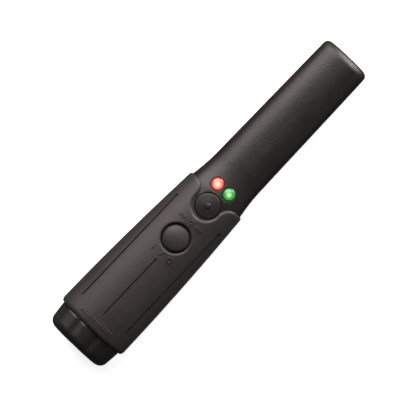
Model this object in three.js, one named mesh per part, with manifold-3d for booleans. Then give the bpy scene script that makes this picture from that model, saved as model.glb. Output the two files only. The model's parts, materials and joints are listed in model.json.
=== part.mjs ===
// Handheld metal-detecting probe: a flat search paddle on a thicker handle with a rubber grip sleeve,
// two push buttons, two indicator lamps, and an end cap that holds a torch and closes the battery bay.
// Millimetres. The probe lies on its back: +Y points to the search tip, +Z to the button side, and
// the origin is under its middle, on the surface it rests on.

import * as THREE from "three";
import { LoftGeometry } from "three/addons/geometries/LoftGeometry.js";
import { mergeVertices } from "three/addons/utils/BufferGeometryUtils.js";
import Module from "manifold-3d";

const wasm = await Module();
wasm.setup();

// ---------------------------------------------------------------- driving dimensions

const length = 241;
const tipY = length / 2;
const buttY = -length / 2;

const grip = {
  topY: 4.4, // top of the two horns beside the torch button
  buttY: -105.6,
  halfWidth: 24.8, // at the butt
  widthTaper: 3.9, // lost by the top
  widthEase: 1.8,
  front: 30, // height of the button side at the butt
  frontTaper: 2.8,
  frontEase: 1.3,
  sideStep: 1.3, // from the rubber's surface to the housing's, at the top
  sideStepAtButt: 1.9,
  frontStep: 2.2,
  rearStep: 1.6,
};
const paddle = {
  halfWidth: 17.75, // where the flare ends
  tipHalfWidth: 16.7,
  front: 22.4,
  tipFront: 21.4,
  flareEndY: 24,
  cornerRadius: 3.2,
  crown: 0.8, // how far the middle of the tip stands past its corners
};
const cap = {
  topY: -106.2,
  halfWidth: 22.6,
  widthTaper: 1.4,
  rear: 2.5,
  front: 26.9,
  heightTaper: 1.2,
  cornerRadius: 5,
  wall: 2.4,
  spigotY: -98.5, // inner end of the spigot that plugs the battery bay
};
const housingButtY = -105.2;
const wall = 2;
const partingZ = 13;
const clearance = 0.3; // between pieces that touch
const snug = 0.15; // between the rubber and the housing
const handlePower = 2.15; // how square the section is: 2 is an ellipse
const paddlePower = 2.35;
const rearFlat = 1.7; // how far the back is cut flat
const ringPoints = 28;
const beyond = 40; // a height past the button side, where cuts end

const powerButton = { y: -31.3, hole: 8.8, sleeveHole: 9.25, skirt: 8.4, face: 7.2 };
const torchButton = { x: 0.5, y: -4.1, hole: 8.15, notch: 9.15, hornRadius: 8.1, skirt: 7.85, flange: 8.75 };
const indicator = { middle: 0.5, apart: 4.7, y: 9.6, lensRadius: 4.1, hole: 4.3, flange: 4.6 };

const board = { halfWidth: 11.6, y0: -44, y1: 20, z0: 15.6, thick: 1.6 };
const boardTop = board.z0 + board.thick;
const battery = { halfWidth: 13.25, halfHeight: 8.75, y0: -97.5, y1: -51.2, z: 13.6, corner: 2.2 };
const bulkhead = { y0: -47.4, y1: -45.8 };
const bosses = [
  [-15, -20],
  [15, -20],
  [-16.7, -72],
  [16.7, -72],
];
const boardPosts = [
  [-9.5, -42],
  [8.6, 17],
];
const coil = { z: 11.6, y0: 32, y1: 112 };
const contactX = 5.8; // the torch's two contacts, each side of the middle
const contactZ = 23.2;

// ---------------------------------------------------------------- solids

function solid(geometry) {
  const bare = new THREE.BufferGeometry().copy(geometry);
  bare.deleteAttribute("normal");
  bare.deleteAttribute("uv");
  const merged = mergeVertices(bare, 1e-4);
  return new wasm.Manifold(
    new wasm.Mesh({
      numProp: 3,
      vertProperties: merged.attributes.position.array,
      triVerts: new Uint32Array(merged.index.array),
    }),
  );
}

function geometryOf(body) {
  const mesh = body.getMesh();
  const geometry = new THREE.BufferGeometry();
  geometry.setAttribute("position", new THREE.BufferAttribute(mesh.vertProperties, 3));
  geometry.setIndex(new THREE.BufferAttribute(mesh.triVerts, 1));
  geometry.computeVertexNormals();
  return geometry;
}

function box(x0, x1, y0, y1, z0, z1) {
  const geometry = new THREE.BoxGeometry(x1 - x0, y1 - y0, z1 - z0);
  return solid(geometry.translate((x0 + x1) / 2, (y0 + y1) / 2, (z0 + z1) / 2));
}

// A round bar standing along Z.
function post(x, y, z0, z1, radius, sides = 14) {
  const geometry = new THREE.CylinderGeometry(radius, radius, z1 - z0, sides);
  return solid(geometry.rotateX(Math.PI / 2).translate(x, y, (z0 + z1) / 2));
}

// A round bar lying along Y.
function bar(x, z, y0, y1, radius, sides = 20) {
  const geometry = new THREE.CylinderGeometry(radius, radius, y1 - y0, sides);
  return solid(geometry.translate(x, (y0 + y1) / 2, z));
}

// A turned piece about a line along Z. The profile is [radius, z] from the axis to the axis, bottom first.
function turned(x, y, profile, sides = 24) {
  const points = profile.map(([radius, z]) => new THREE.Vector2(radius, z));
  const geometry = new THREE.LatheGeometry(points, sides);
  return solid(geometry.rotateX(Math.PI / 2).translate(x, y, 0));
}

// A turned piece about a line along Y. The profile is [radius, y] from the axis to the axis, lowest y first.
function turnedAlongY(x, z, profile, sides = 20) {
  const points = profile.map(([radius, y]) => new THREE.Vector2(radius, y));
  return solid(new THREE.LatheGeometry(points, sides).translate(x, 0, z));
}

function roundedRectangle(halfWidth, halfHeight, corner) {
  const shape = new THREE.Shape();
  const right = halfWidth - corner;
  const top = halfHeight - corner;
  shape.absarc(right, top, corner, 0, Math.PI / 2);
  shape.absarc(-right, top, corner, Math.PI / 2, Math.PI);
  shape.absarc(-right, -top, corner, Math.PI, 1.5 * Math.PI);
  shape.absarc(right, -top, corner, 1.5 * Math.PI, 2 * Math.PI);
  shape.closePath();
  return shape;
}

// A rounded bar along Y, its section centred on x = 0 at height z.
function roundedBar(halfWidth, halfHeight, corner, y0, y1, z) {
  const geometry = new THREE.ExtrudeGeometry(roundedRectangle(halfWidth, halfHeight, corner), {
    depth: y1 - y0,
    bevelEnabled: false,
    curveSegments: 2,
  });
  return solid(geometry.rotateX(-Math.PI / 2).translate(0, y0, z));
}

// A wire of 8 sides along a smooth line through the points.
function wire(points, radius, steps) {
  const corners = points.map((p) => new THREE.Vector3(...p));
  const path = new THREE.CatmullRomCurve3(corners, false, "catmullrom", 0.25);
  const section = new THREE.Shape();
  section.absarc(0, 0, radius, 0, 2 * Math.PI);
  return solid(
    new THREE.ExtrudeGeometry(section, { steps, extrudePath: path, curveSegments: 3, bevelEnabled: false }),
  );
}

// ---------------------------------------------------------------- the moulded skins

function mix(a, b, share) {
  return a + (b - a) * share;
}

// The rubber grip's outer section at a place along the probe.
function gripSkin(y) {
  const fromButt = THREE.MathUtils.clamp((y - grip.buttY) / (grip.topY - grip.buttY), 0, 1);
  return {
    halfWidth: grip.halfWidth - grip.widthTaper * fromButt ** grip.widthEase,
    rear: 0,
    front: grip.front - grip.frontTaper * fromButt ** grip.frontEase,
    power: handlePower,
  };
}

// The housing's outer section: under the grip it follows the rubber, and past it flares down to the paddle.
function housingSkin(y) {
  const rubber = gripSkin(y);
  const fromButt = THREE.MathUtils.clamp((y - grip.buttY) / (grip.topY - grip.buttY), 0, 1);
  const handle = {
    halfWidth: rubber.halfWidth - mix(grip.sideStepAtButt, grip.sideStep, fromButt),
    rear: grip.rearStep,
    front: rubber.front - grip.frontStep,
    power: handlePower,
  };
  if (y <= grip.topY) return handle;
  const alongPaddle = (y - paddle.flareEndY) / (tipY - paddle.flareEndY);
  const flare = THREE.MathUtils.clamp((paddle.flareEndY - y) / (paddle.flareEndY - grip.topY), 0, 1) ** 2;
  return {
    halfWidth: mix(mix(paddle.halfWidth, paddle.tipHalfWidth, alongPaddle), handle.halfWidth, flare),
    rear: grip.rearStep,
    front: mix(mix(paddle.front, paddle.tipFront, alongPaddle), handle.front, flare),
    power: mix(paddlePower, handlePower, flare),
  };
}

// The end cap's outer section.
function capSkin(y) {
  const down = THREE.MathUtils.clamp((cap.topY - y) / (cap.topY - buttY), 0, 1);
  return {
    halfWidth: cap.halfWidth - cap.widthTaper * down,
    rear: cap.rear + cap.heightTaper * down * 0.5,
    front: cap.front - cap.heightTaper * down,
    power: handlePower,
  };
}

// A ring of points round a skin, moved in by an inset. The back is cut flat.
function ring(skin, y, inset) {
  const { halfWidth, rear, front, power } = skin(y);
  const centre = (rear + front) / 2;
  const reach = (front - rear) / 2 - inset;
  const points = [];
  for (let i = 0; i < ringPoints; i++) {
    const angle = (2 * Math.PI * i) / ringPoints;
    const across = Math.cos(angle);
    const up = Math.sin(angle);
    const lift = Math.sign(up) * Math.abs(up) ** (2 / power) * (up < 0 ? reach + rearFlat : reach);
    points.push(
      new THREE.Vector3(
        -(halfWidth - inset) * Math.sign(across) * Math.abs(across) ** (2 / power),
        y,
        Math.max(centre + lift, rear + inset),
      ),
    );
  }
  return points;
}

// A solid through rings at [y, inset], lowest y first.
function loft(skin, stations) {
  const rings = stations.map(([y, inset]) => ring(skin, y, inset));
  return solid(new LoftGeometry(rings, { capStart: true, capEnd: true }));
}

function stationsBetween(y0, y1, inset, step) {
  const count = Math.max(1, Math.round((y1 - y0) / step));
  return Array.from({ length: count + 1 }, (_, i) => [mix(y0, y1, i / count), inset]);
}

const handleStations = (y0, y1, inset) => stationsBetween(y0, y1, inset, 28);
const paddleStations = (y1, inset) => [
  ...stationsBetween(grip.topY + 4, paddle.flareEndY, inset, 5),
  [70, inset],
  [y1, inset],
];

// Rounds the high end of a loft, from the straight wall to a flat end.
function roundedTip(y, radius) {
  const turn = [0.33, 0.67, 1].map((share) => (share * Math.PI) / 2);
  return turn.map((a) => [y - radius * (1 - Math.sin(a)), radius * (1 - Math.cos(a))]);
}

const housingOuter = loft(housingSkin, [
  [housingButtY, 0],
  ...handleStations(housingButtY + 1, grip.topY, 0),
  ...paddleStations(tipY - paddle.crown - paddle.cornerRadius, 0),
  ...roundedTip(tipY - paddle.crown, paddle.cornerRadius),
  [tipY - paddle.crown * 0.3, 6],
  [tipY, 9],
]);
const housingInner = (inset) =>
  loft(housingSkin, [
    ...handleStations(housingButtY - 2, grip.topY, inset),
    ...paddleStations(tipY - paddle.crown - wall - 1.5 - (inset - wall), inset),
    [tipY - paddle.crown - wall - (inset - wall), inset + 1.5],
  ]);
const cavity = housingInner(wall);

// What fits inside the housing between two places along it.
function plug(y0, y1, inset = wall + clearance) {
  return loft(housingSkin, [
    [y0, inset],
    [(y0 + y1) / 2, inset],
    [y1, inset],
  ]);
}

// ---------------------------------------------------------------- housing and grip

const bossRadius = { rear: 3, front: 2.6 };
const boardPost = { radius: 1.9, pilot: 1.1, pilotDepth: 4.3, boardHole: 1.3 };
const bossInset = 0.8; // bosses and posts stop this far inside the outer surface
const screw = { head: 1.9, headHole: 2.2, shank: 1, hole: 1.3, seatZ: 7.9, tipZ: 19 };

function frontShell() {
  const bossClip = loft(housingSkin, [...handleStations(housingButtY + 1, grip.topY, bossInset), [22, bossInset]]);
  let shell = housingOuter.subtract(cavity);
  for (const [x, y] of bosses) {
    shell = shell.add(post(x, y, partingZ, beyond, bossRadius.front).intersect(bossClip));
  }
  for (const [x, y] of boardPosts) {
    shell = shell.add(post(x, y, boardTop + clearance, beyond, boardPost.radius, 10).intersect(bossClip));
  }
  shell = shell.intersect(box(-30, 30, -130, 130, partingZ + snug, beyond));
  for (const [x, y] of bosses) {
    shell = shell.subtract(post(x, y, partingZ - 1, screw.tipZ + 1, screw.hole, 10));
  }
  for (const [x, y] of boardPosts) {
    shell = shell.subtract(post(x, y, boardTop, boardTop + boardPost.pilotDepth, boardPost.pilot, 8));
  }
  shell = shell.subtract(post(0, powerButton.y, 20, beyond, powerButton.hole, 24));
  shell = shell.subtract(post(torchButton.x, torchButton.y, 18, beyond, torchButton.hole, 24));
  for (const side of [-1, 1]) {
    shell = shell.subtract(post(lampX(side), indicator.y, 16, beyond, indicator.hole, 18));
  }
  return shell;
}

function rearShell() {
  const bossClip = loft(housingSkin, [...handleStations(housingButtY + 1, grip.topY, bossInset)]);
  let shell = housingOuter.subtract(cavity);
  for (const [x, y] of bosses) {
    shell = shell.add(post(x, y, 0, partingZ, bossRadius.rear).intersect(bossClip));
  }
  shell = shell.intersect(box(-30, 30, -130, 130, -5, partingZ - snug));
  for (const [x, y] of bosses) {
    shell = shell.subtract(post(x, y, -1, partingZ + 1, screw.hole, 10));
    shell = shell.subtract(post(x, y, -1, screw.seatZ, screw.headHole, 12));
  }
  return shell;
}

function shellScrew([x, y]) {
  const headZ = screw.seatZ - clearance;
  return turned(
    x,
    y,
    [
      [0, headZ - 2],
      [screw.head * 0.8, headZ - 2],
      [screw.head, headZ - 1.4],
      [screw.head, headZ],
      [screw.shank, headZ],
      [screw.shank, screw.tipZ - 1],
      [0, screw.tipZ],
    ],
    10,
  );
}

// The opening round the torch button, from horn top to horn top, seen from the front.
function notchOutline() {
  const { notch, hornRadius, y } = torchButton;
  const hornY = grip.topY - hornRadius;
  const hornX = Math.sqrt((notch + hornRadius) ** 2 - (hornY - y) ** 2); // the two arcs meet smoothly
  const lean = Math.atan2(hornY - y, hornX);
  const above = grip.topY + 10;
  const shape = new THREE.Shape();
  shape.moveTo(-hornX, above);
  shape.absarc(-hornX, hornY, hornRadius, Math.PI / 2, -lean, true);
  shape.absarc(0, y, notch, Math.PI - lean, lean, false);
  shape.absarc(hornX, hornY, hornRadius, Math.PI + lean, Math.PI / 2, true);
  shape.lineTo(hornX, above);
  shape.closePath();
  return shape;
}

const groove = {
  width: 0.9,
  depth: 0.8,
  middle: [-94.9, -46.9],
  side: [-94.6, -11],
  sideX: 17.2,
};

function gripSleeve() {
  let sleeve = loft(gripSkin, [
    [grip.buttY, 1.4],
    [grip.buttY + 0.8, 0.7],
    [grip.buttY + 3.2, 0],
    ...handleStations(grip.buttY + 6, grip.topY - 3, 0),
    [grip.topY - 1, 0],
    [grip.topY, 0.6],
  ]);
  sleeve = sleeve.subtract(
    loft(housingSkin, handleStations(grip.buttY - 2, grip.topY + 0.1, -snug).concat([[grip.topY + 3, -snug]])),
  );
  const notch = new THREE.ExtrudeGeometry(notchOutline(), {
    depth: 30,
    bevelEnabled: false,
    curveSegments: 7,
  });
  sleeve = sleeve.subtract(solid(notch.translate(0, 0, partingZ + 2)));
  sleeve = sleeve.subtract(post(0, powerButton.y, 20, beyond, powerButton.sleeveHole, 24));
  const floor = loft(gripSkin, handleStations(groove.side[0] - 5, groove.side[1] + 5, groove.depth));
  const sides = [
    [0, groove.middle],
    [-groove.sideX, groove.side],
    [groove.sideX, groove.side],
  ];
  for (const [x, [y0, y1]] of sides) {
    const cut = box(x - groove.width / 2, x + groove.width / 2, y0, y1, partingZ + 2, beyond).subtract(floor);
    sleeve = sleeve.subtract(cut);
  }
  return sleeve;
}

// ---------------------------------------------------------------- buttons and lamps

const powerFlangeZ = 21.8;
const torchFlangeZ = 21;
const powerSwitchTop = 20.2;
const torchSwitchTop = 19.4;

function powerKey() {
  const { skirt, face, y } = powerButton;
  return turned(0, y, [
    [0, powerFlangeZ - 0.2],
    [2, powerFlangeZ - 0.2],
    [2, powerFlangeZ],
    [9.6, powerFlangeZ],
    [9.6, powerFlangeZ + 0.8],
    [skirt, powerFlangeZ + 0.8],
    [skirt, 27],
    [skirt - 0.3, 27.4],
    [face + 0.2, 27.5],
    [face, 28.1],
    [face - 1.6, 28.6],
    [0, 28.9],
  ]);
}

function torchKey() {
  const { skirt, flange, x, y } = torchButton;
  return turned(x, y, [
    [0, torchFlangeZ - 0.2],
    [2, torchFlangeZ - 0.2],
    [2, torchFlangeZ],
    [flange, torchFlangeZ],
    [flange, torchFlangeZ + 0.8],
    [skirt, torchFlangeZ + 0.8],
    [skirt, 25.3],
    [skirt - 0.5, 25.8],
    [skirt - 1.2, 25.9],
    [1.6, 26.3],
    [1.2, 26.7],
    [0, 26.8],
  ]);
}

// A four-legged push switch with a round well in its top for the plunger.
function switchBody(y, top) {
  return box(-3, 3, y - 3, y + 3, boardTop + 0.1, top).subtract(post(0, y, top - 2.6, top + 1, 2, 12));
}

function switchPlunger(y, top, keyBottom) {
  return post(0, y, top - 1.2, keyBottom - 0.2 - clearance, 1.6, 12);
}

function lampX(side) {
  return indicator.middle + side * indicator.apart;
}

function indicatorLens(side) {
  const profile = [
    [0, 21.2],
    [2.9, 21.2],
    [2.9, 19],
    [indicator.flange, 19],
    [indicator.flange, 19.8],
    [indicator.lensRadius, 19.8],
    [indicator.lensRadius, 23.2],
    [3.4, 24],
    [2, 24.5],
    [0, 24.7],
  ];
  return turned(lampX(side), indicator.y, profile, 18);
}

function indicatorBulb(side) {
  return turned(
    lampX(side),
    indicator.y,
    [
      [0, boardTop + 0.1],
      [2.8, boardTop + 0.1],
      [2.8, boardTop + 1],
      [2.4, boardTop + 1],
      [2.4, boardTop + 1.8],
      [1.6, boardTop + 2.9],
      [0, boardTop + 3.4],
    ],
    10,
  );
}

// ---------------------------------------------------------------- electronics

function mainBoard() {
  let made = box(-board.halfWidth, board.halfWidth, board.y0, board.y1, board.z0, boardTop);
  for (const [x, y] of boardPosts) made = made.subtract(post(x, y, 0, beyond, boardPost.boardHole, 10));
  return made;
}

function boardScrew([x, y]) {
  return turned(
    x,
    y,
    [
      [0, board.z0 - 1.6],
      [1.5, board.z0 - 1.6],
      [1.9, board.z0 - 0.8],
      [1.9, board.z0 - 0.1],
      [0.8, board.z0 - 0.1],
      [0.8, boardTop + 3.4],
      [0, boardTop + 3.9],
    ],
    8,
  );
}

const buzzerZ = board.z0 - 0.1;
const buzzer = () =>
  turned(0, -8, [
    [0, buzzerZ - 4.5],
    [8, buzzerZ - 4.5],
    [8.6, buzzerZ - 4],
    [8.6, buzzerZ],
    [0, buzzerZ],
  ]);

const motor = { x: -5.4, z: 9.4, radius: 3.5, y0: -41, y1: -29 };

// The motor's can, with a bore at the front for its shaft.
function motorCan() {
  const can = bar(motor.x, motor.z, motor.y0, motor.y1, motor.radius);
  return can.subtract(bar(motor.x, motor.z, motor.y1 - 4, motor.y1 + 1, 0.8, 10));
}

// A half disc on the motor's shaft, stored with its heavy side down.
function eccentricWeight() {
  const disc = bar(motor.x, motor.z, motor.y1 + 0.8, motor.y1 + 4.8, 3.2);
  const heavySide = disc.intersect(box(-20, 20, -60, 0, 0, motor.z));
  return heavySide.add(bar(motor.x, motor.z, motor.y1 + 0.8, motor.y1 + 4.8, 1.2, 10));
}

const motorShaft = () => bar(motor.x, motor.z, motor.y1 - 3.5, motor.y1 + 0.8, 0.5, 8);

// A saddle that holds the motor off the housing's back.
function motorSaddle() {
  const block = box(motor.x - 4.6, motor.x + 4.6, motor.y0 + 1, motor.y1 - 1, 2, motor.z - 0.5);
  const seat = bar(motor.x, motor.z, motor.y0, motor.y1, motor.radius + clearance);
  return block.intersect(plug(motor.y0, motor.y1)).subtract(seat);
}

const leadX = 4.6; // the two battery leads pass through the bulkhead here
const leadZ = 7.6;

function batteryBulkhead() {
  let plate = plug(bulkhead.y0, bulkhead.y1);
  for (const side of [-1, 1]) {
    const x = side * contactX;
    plate = plate.subtract(box(x - 0.9, x + 0.9, bulkhead.y0 - 1, bulkhead.y1 + 1, contactZ - 1.8, 30));
    plate = plate.subtract(bar(side * leadX, leadZ, bulkhead.y0 - 1, bulkhead.y1 + 1, 1.1, 12));
  }
  return plate;
}

const terminalX = 6.35;

// The two snap studs on the battery's end, and the clips that meet them.
const batteryStud = (side) =>
  bar(side * terminalX, battery.z, battery.y1 + 0.1, battery.y1 + 2, side < 0 ? 2.7 : 3.6, side < 0 ? 16 : 6);
const contactClip = (side) =>
  bar(side * terminalX, battery.z, battery.y1 + 2.2, bulkhead.y0 - 0.1, 3.9, 16).subtract(
    bar(side * terminalX, battery.z, battery.y1 + 1, bulkhead.y0 - 0.5, 2.2, 12),
  );

// A lead from a battery clip's hole in the bulkhead to the back of the board.
const batteryLead = (side) =>
  wire(
    [
      [side * leadX, bulkhead.y0 - 0.6, leadZ],
      [side * leadX, bulkhead.y1 + 0.8, leadZ],
      [side * leadX, bulkhead.y1 + 2.4, 10],
      [side * leadX, bulkhead.y1 + 2.8, board.z0 - 0.4],
    ],
    0.6,
    12,
  );

// The torch's long leads run from the board's end over the battery to the contact tabs at the butt.
const torchLead = (side) =>
  wire(
    [
      [side * contactX, board.y0 + 0.5, boardTop + 0.8],
      [side * contactX, board.y0 - 0.3, contactZ - 2.6],
      [side * contactX, bulkhead.y1 + 0.4, contactZ - 0.3],
      [side * contactX, bulkhead.y0 - 0.6, contactZ],
      [side * contactX, -70, contactZ],
      [side * contactX, -96.9, contactZ],
    ],
    0.45,
    16,
  );
const torchTab = (side) =>
  box(side * contactX - 1.5, side * contactX + 1.5, -98.1, -97.3, contactZ - 0.5, contactZ + 1.3);

// ---------------------------------------------------------------- search coil

function coilFormer() {
  let former = roundedBar(8.4, 4, 2, coil.y0 - 3, coil.y1 + 2.5, coil.z);
  for (const y of [coil.y0, 53, 88, coil.y1 - 1.6]) {
    former = former.add(roundedBar(10.6, 5.5, 3, y, y + 1.6, coil.z));
  }
  return former.subtract(roundedBar(7.4, 3.1, 1.4, coil.y0 - 5, coil.y1 + 5, coil.z));
}

const winding = (y0, y1) =>
  roundedBar(9.9, 4.95, 2.6, y0 + 0.3, y1 - 0.3, coil.z).subtract(
    roundedBar(8.7, 4.3, 2.2, y0 - 1, y1 + 1, coil.z),
  );

// A foam block that fills the paddle round one end of the former.
const coilPad = (y0, y1) => plug(y0, y1).subtract(roundedBar(8.7, 4.3, 2.2, y0 - 1, y1 + 1, coil.z));

const coilLead = (side) =>
  wire(
    [
      [side * 5, coil.y0 - 3.4, coil.z],
      [side * 5, coil.y0 - 6, coil.z],
      [side * 4.4, board.y1 + 1.6, 13.4],
      [side * 4, board.y1 - 2, board.z0 - 0.9],
    ],
    0.45,
    14,
  );

// ---------------------------------------------------------------- end cap and torch

const torch = { z: 14.6, lensRadius: 8.2, lensThick: 1.8, bezelRadius: 7.4 };

function endCap() {
  const { topY, wall: capWall, cornerRadius } = cap;
  const round = roundedTip(-buttY, cornerRadius).map(([y, inset]) => [-y, inset]);
  let made = loft(capSkin, [...round.reverse(), [buttY + cornerRadius, 0], [(buttY + topY) / 2, 0], [topY, 0]]);
  const seal = [-103.6, -102];
  const spigot = loft(housingSkin, [
    [topY - 0.5, wall + clearance],
    [seal[0] - 0.2, wall + clearance],
    [seal[0], wall + 1.1],
    [seal[1], wall + 1.1],
    [seal[1] + 0.2, wall + clearance],
    [cap.spigotY - 0.8, wall + clearance],
    [cap.spigotY, wall + clearance + 0.6],
  ]);
  made = made.add(spigot);
  const throat = loft(housingSkin, [
    [-109, wall + 2],
    [cap.spigotY + 2, wall + 2],
  ]);
  const room = loft(capSkin, [
    [buttY + capWall, capWall + 4],
    [buttY + capWall + 3, capWall],
    [topY - 1.4, capWall],
  ]);
  made = made.subtract(throat).subtract(room);
  made = made.subtract(bar(0, torch.z, buttY - 1, buttY + 5, torch.bezelRadius, 28));
  made = made.subtract(bar(0, torch.z, buttY + 0.9, buttY + 6, torch.lensRadius + clearance, 28));
  return made;
}

const capSeal = () =>
  loft(housingSkin, [
    [-103.3, wall + snug + 0.2],
    [-102.8, wall + snug],
    [-102.3, wall + snug + 0.2],
  ]).subtract(
    loft(housingSkin, [
      [-104, wall + 0.95],
      [-101, wall + 0.95],
    ]),
  );

const lensY = buttY + 1.2;
const torchLens = () =>
  bar(0, torch.z, lensY, lensY + torch.lensThick, torch.lensRadius, 28);

const reflectorY = lensY + torch.lensThick + 0.2;
const torchReflector = () =>
  turnedAlongY(0, torch.z, [
    [2.6, reflectorY + 6.6],
    [3.6, reflectorY + 5],
    [5.4, reflectorY + 2.6],
    [7.2, reflectorY],
    [8.1, reflectorY],
    [8.1, reflectorY + 1],
    [6.4, reflectorY + 2.8],
    [4.6, reflectorY + 5.4],
    [3.6, reflectorY + 7.3],
    [2.6, reflectorY + 7.3],
    [2.6, reflectorY + 6.6],
  ]);

const torchBoardY = reflectorY + 7.5;
const torchLamp = () =>
  turnedAlongY(0, torch.z, [
    [0, torchBoardY - 3.4],
    [1.2, torchBoardY - 3],
    [1.9, torchBoardY - 2],
    [1.9, torchBoardY - 0.1],
    [0, torchBoardY - 0.1],
  ], 12);
const torchBoard = () =>
  roundedBar(13, 8.2, 3, torchBoardY, torchBoardY + 1.2, torch.z).add(
    box(-7.6, 7.6, torchBoardY, torchBoardY + 1.2, torch.z, contactZ + 0.1),
  );
const torchPin = (side) =>
  bar(side * contactX, contactZ - 0.4, torchBoardY + 1.3, cap.spigotY + 0.1, 0.4, 8);
const batteryPad = () =>
  roundedBar(9, 6, 2, torchBoardY + 1.4, battery.y0 - clearance, battery.z);

// ---------------------------------------------------------------- materials and assembly

const looks = {
  plastic: new THREE.MeshStandardMaterial({ color: 0x3b3635, roughness: 0.5, metalness: 0 }),
  rubber: new THREE.MeshStandardMaterial({ color: 0x393534, roughness: 0.65, metalness: 0 }),
  cap: new THREE.MeshStandardMaterial({ color: 0x242322, roughness: 0.4, metalness: 0 }),
  redLens: new THREE.MeshStandardMaterial({ color: 0xd8322a, roughness: 0.2, metalness: 0 }),
  greenLens: new THREE.MeshStandardMaterial({ color: 0x35a34a, roughness: 0.2, metalness: 0 }),
  clear: new THREE.MeshStandardMaterial({ color: 0xdfe6ea, roughness: 0.08, metalness: 0 }),
  chrome: new THREE.MeshStandardMaterial({ color: 0xd6d8da, roughness: 0.15, metalness: 1 }),
  steel: new THREE.MeshStandardMaterial({ color: 0x9a9c9e, roughness: 0.35, metalness: 1 }),
  brass: new THREE.MeshStandardMaterial({ color: 0xc9a45a, roughness: 0.35, metalness: 1 }),
  copper: new THREE.MeshStandardMaterial({ color: 0xa8552c, roughness: 0.4, metalness: 0.8 }),
  ferrite: new THREE.MeshStandardMaterial({ color: 0x2f2f33, roughness: 0.6, metalness: 0 }),
  former: new THREE.MeshStandardMaterial({ color: 0xd9d3c4, roughness: 0.55, metalness: 0 }),
  circuit: new THREE.MeshStandardMaterial({ color: 0x1f5a37, roughness: 0.45, metalness: 0 }),
  chip: new THREE.MeshStandardMaterial({ color: 0x1c1c1e, roughness: 0.5, metalness: 0 }),
  foam: new THREE.MeshStandardMaterial({ color: 0x55575a, roughness: 0.95, metalness: 0 }),
  seal: new THREE.MeshStandardMaterial({ color: 0x7c2f22, roughness: 0.6, metalness: 0 }),
  batteryCase: new THREE.MeshStandardMaterial({ color: 0x2b3f66, roughness: 0.35, metalness: 0.3 }),
  redWire: new THREE.MeshStandardMaterial({ color: 0xb02a22, roughness: 0.5, metalness: 0 }),
  blackWire: new THREE.MeshStandardMaterial({ color: 0x1d1d1d, roughness: 0.5, metalness: 0 }),
};

const probe = new THREE.Group();

function add(name, body, material) {
  const mesh = new THREE.Mesh(geometryOf(body), material);
  mesh.name = name;
  probe.add(mesh);
}

add("front_shell", frontShell(), looks.plastic);
add("rear_shell", rearShell(), looks.plastic);
add("grip_sleeve", gripSleeve(), looks.rubber);
bosses.forEach((place, i) => add(`shell_screw_${i + 1}`, shellScrew(place), looks.steel));

add("power_button", powerKey(), looks.rubber);
add("power_switch", switchBody(powerButton.y, powerSwitchTop), looks.chip);
add("power_switch_plunger", switchPlunger(powerButton.y, powerSwitchTop, powerFlangeZ), looks.former);
add("torch_button", torchKey(), looks.plastic);
add("torch_switch", switchBody(torchButton.y, torchSwitchTop), looks.chip);
add("torch_switch_plunger", switchPlunger(torchButton.y, torchSwitchTop, torchFlangeZ), looks.former);
add("red_lens", indicatorLens(-1), looks.redLens);
add("green_lens", indicatorLens(1), looks.greenLens);
add("red_led", indicatorBulb(-1), looks.redLens);
add("green_led", indicatorBulb(1), looks.greenLens);

add("main_board", mainBoard(), looks.circuit);
boardPosts.forEach((place, i) => add(`board_screw_${i + 1}`, boardScrew(place), looks.steel));
add("processor_chip", box(-4.5, 4.5, -22, -13, boardTop + 0.1, boardTop + 1.4), looks.chip);
add("amplifier_chip", box(-9.5, -5.5, 0, 6, boardTop + 0.1, boardTop + 1.6), looks.chip);
add("supply_capacitor", post(7.6, -38.4, boardTop + 0.1, boardTop + 3.4, 2.4, 20), looks.steel);
add("buzzer", buzzer(), looks.chip);
add("vibration_motor", motorCan(), looks.steel);
add("motor_shaft", motorShaft(), looks.steel);
add("eccentric_weight", eccentricWeight(), looks.brass);
add("motor_saddle", motorSaddle(), looks.foam);

add("battery_bulkhead", batteryBulkhead(), looks.chip);
add("contact_clip_plus", contactClip(-1), looks.steel);
add("contact_clip_minus", contactClip(1), looks.steel);
add("battery_lead_red", batteryLead(-1), looks.redWire);
add("battery_lead_black", batteryLead(1), looks.blackWire);
add(
  "battery",
  roundedBar(battery.halfWidth, battery.halfHeight, battery.corner, battery.y0, battery.y1, battery.z),
  looks.batteryCase,
);
add("battery_stud_plus", batteryStud(-1), looks.steel);
add("battery_stud_minus", batteryStud(1), looks.steel);
add("torch_lead_red", torchLead(-1), looks.redWire);
add("torch_lead_black", torchLead(1), looks.blackWire);
add("torch_tab_plus", torchTab(-1), looks.brass);
add("torch_tab_minus", torchTab(1), looks.brass);

add("ferrite_core", roundedBar(7.1, 2.8, 1.2, coil.y0 - 2, coil.y1 + 1.5, coil.z), looks.ferrite);
add("coil_former", coilFormer(), looks.former);
add("receive_winding_near", winding(coil.y0 + 1.6, 53), looks.copper);
add("transmit_winding", winding(54.6, 88), looks.copper);
add("receive_winding_far", winding(89.6, coil.y1 - 1.6), looks.copper);
add("coil_pad_near", coilPad(coil.y0 - 2.6, coil.y0 - 0.3), looks.foam);
add("coil_pad_far", coilPad(coil.y1 + 0.3, coil.y1 + 2.3), looks.foam);
add("coil_lead_1", coilLead(-1), looks.copper);
add("coil_lead_2", coilLead(1), looks.copper);

add("battery_cap", endCap(), looks.cap);
add("cap_seal", capSeal(), looks.seal);
add("torch_lens", torchLens(), looks.clear);
add("torch_reflector", torchReflector(), looks.chrome);
add("torch_lamp", torchLamp(), looks.clear);
add("torch_board", torchBoard(), looks.circuit);
add("torch_pin_plus", torchPin(-1), looks.brass);
add("torch_pin_minus", torchPin(1), looks.brass);
add("battery_pad", batteryPad(), looks.foam);

export default probe;
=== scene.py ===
# A handheld metal-detecting probe, lying on its back with its buttons up.
# Shapes are worked out in millimetres, and makePiece turns each finished one into metres.

import json
import math

import bmesh
import bpy
from mathutils import Matrix, Vector


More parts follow.
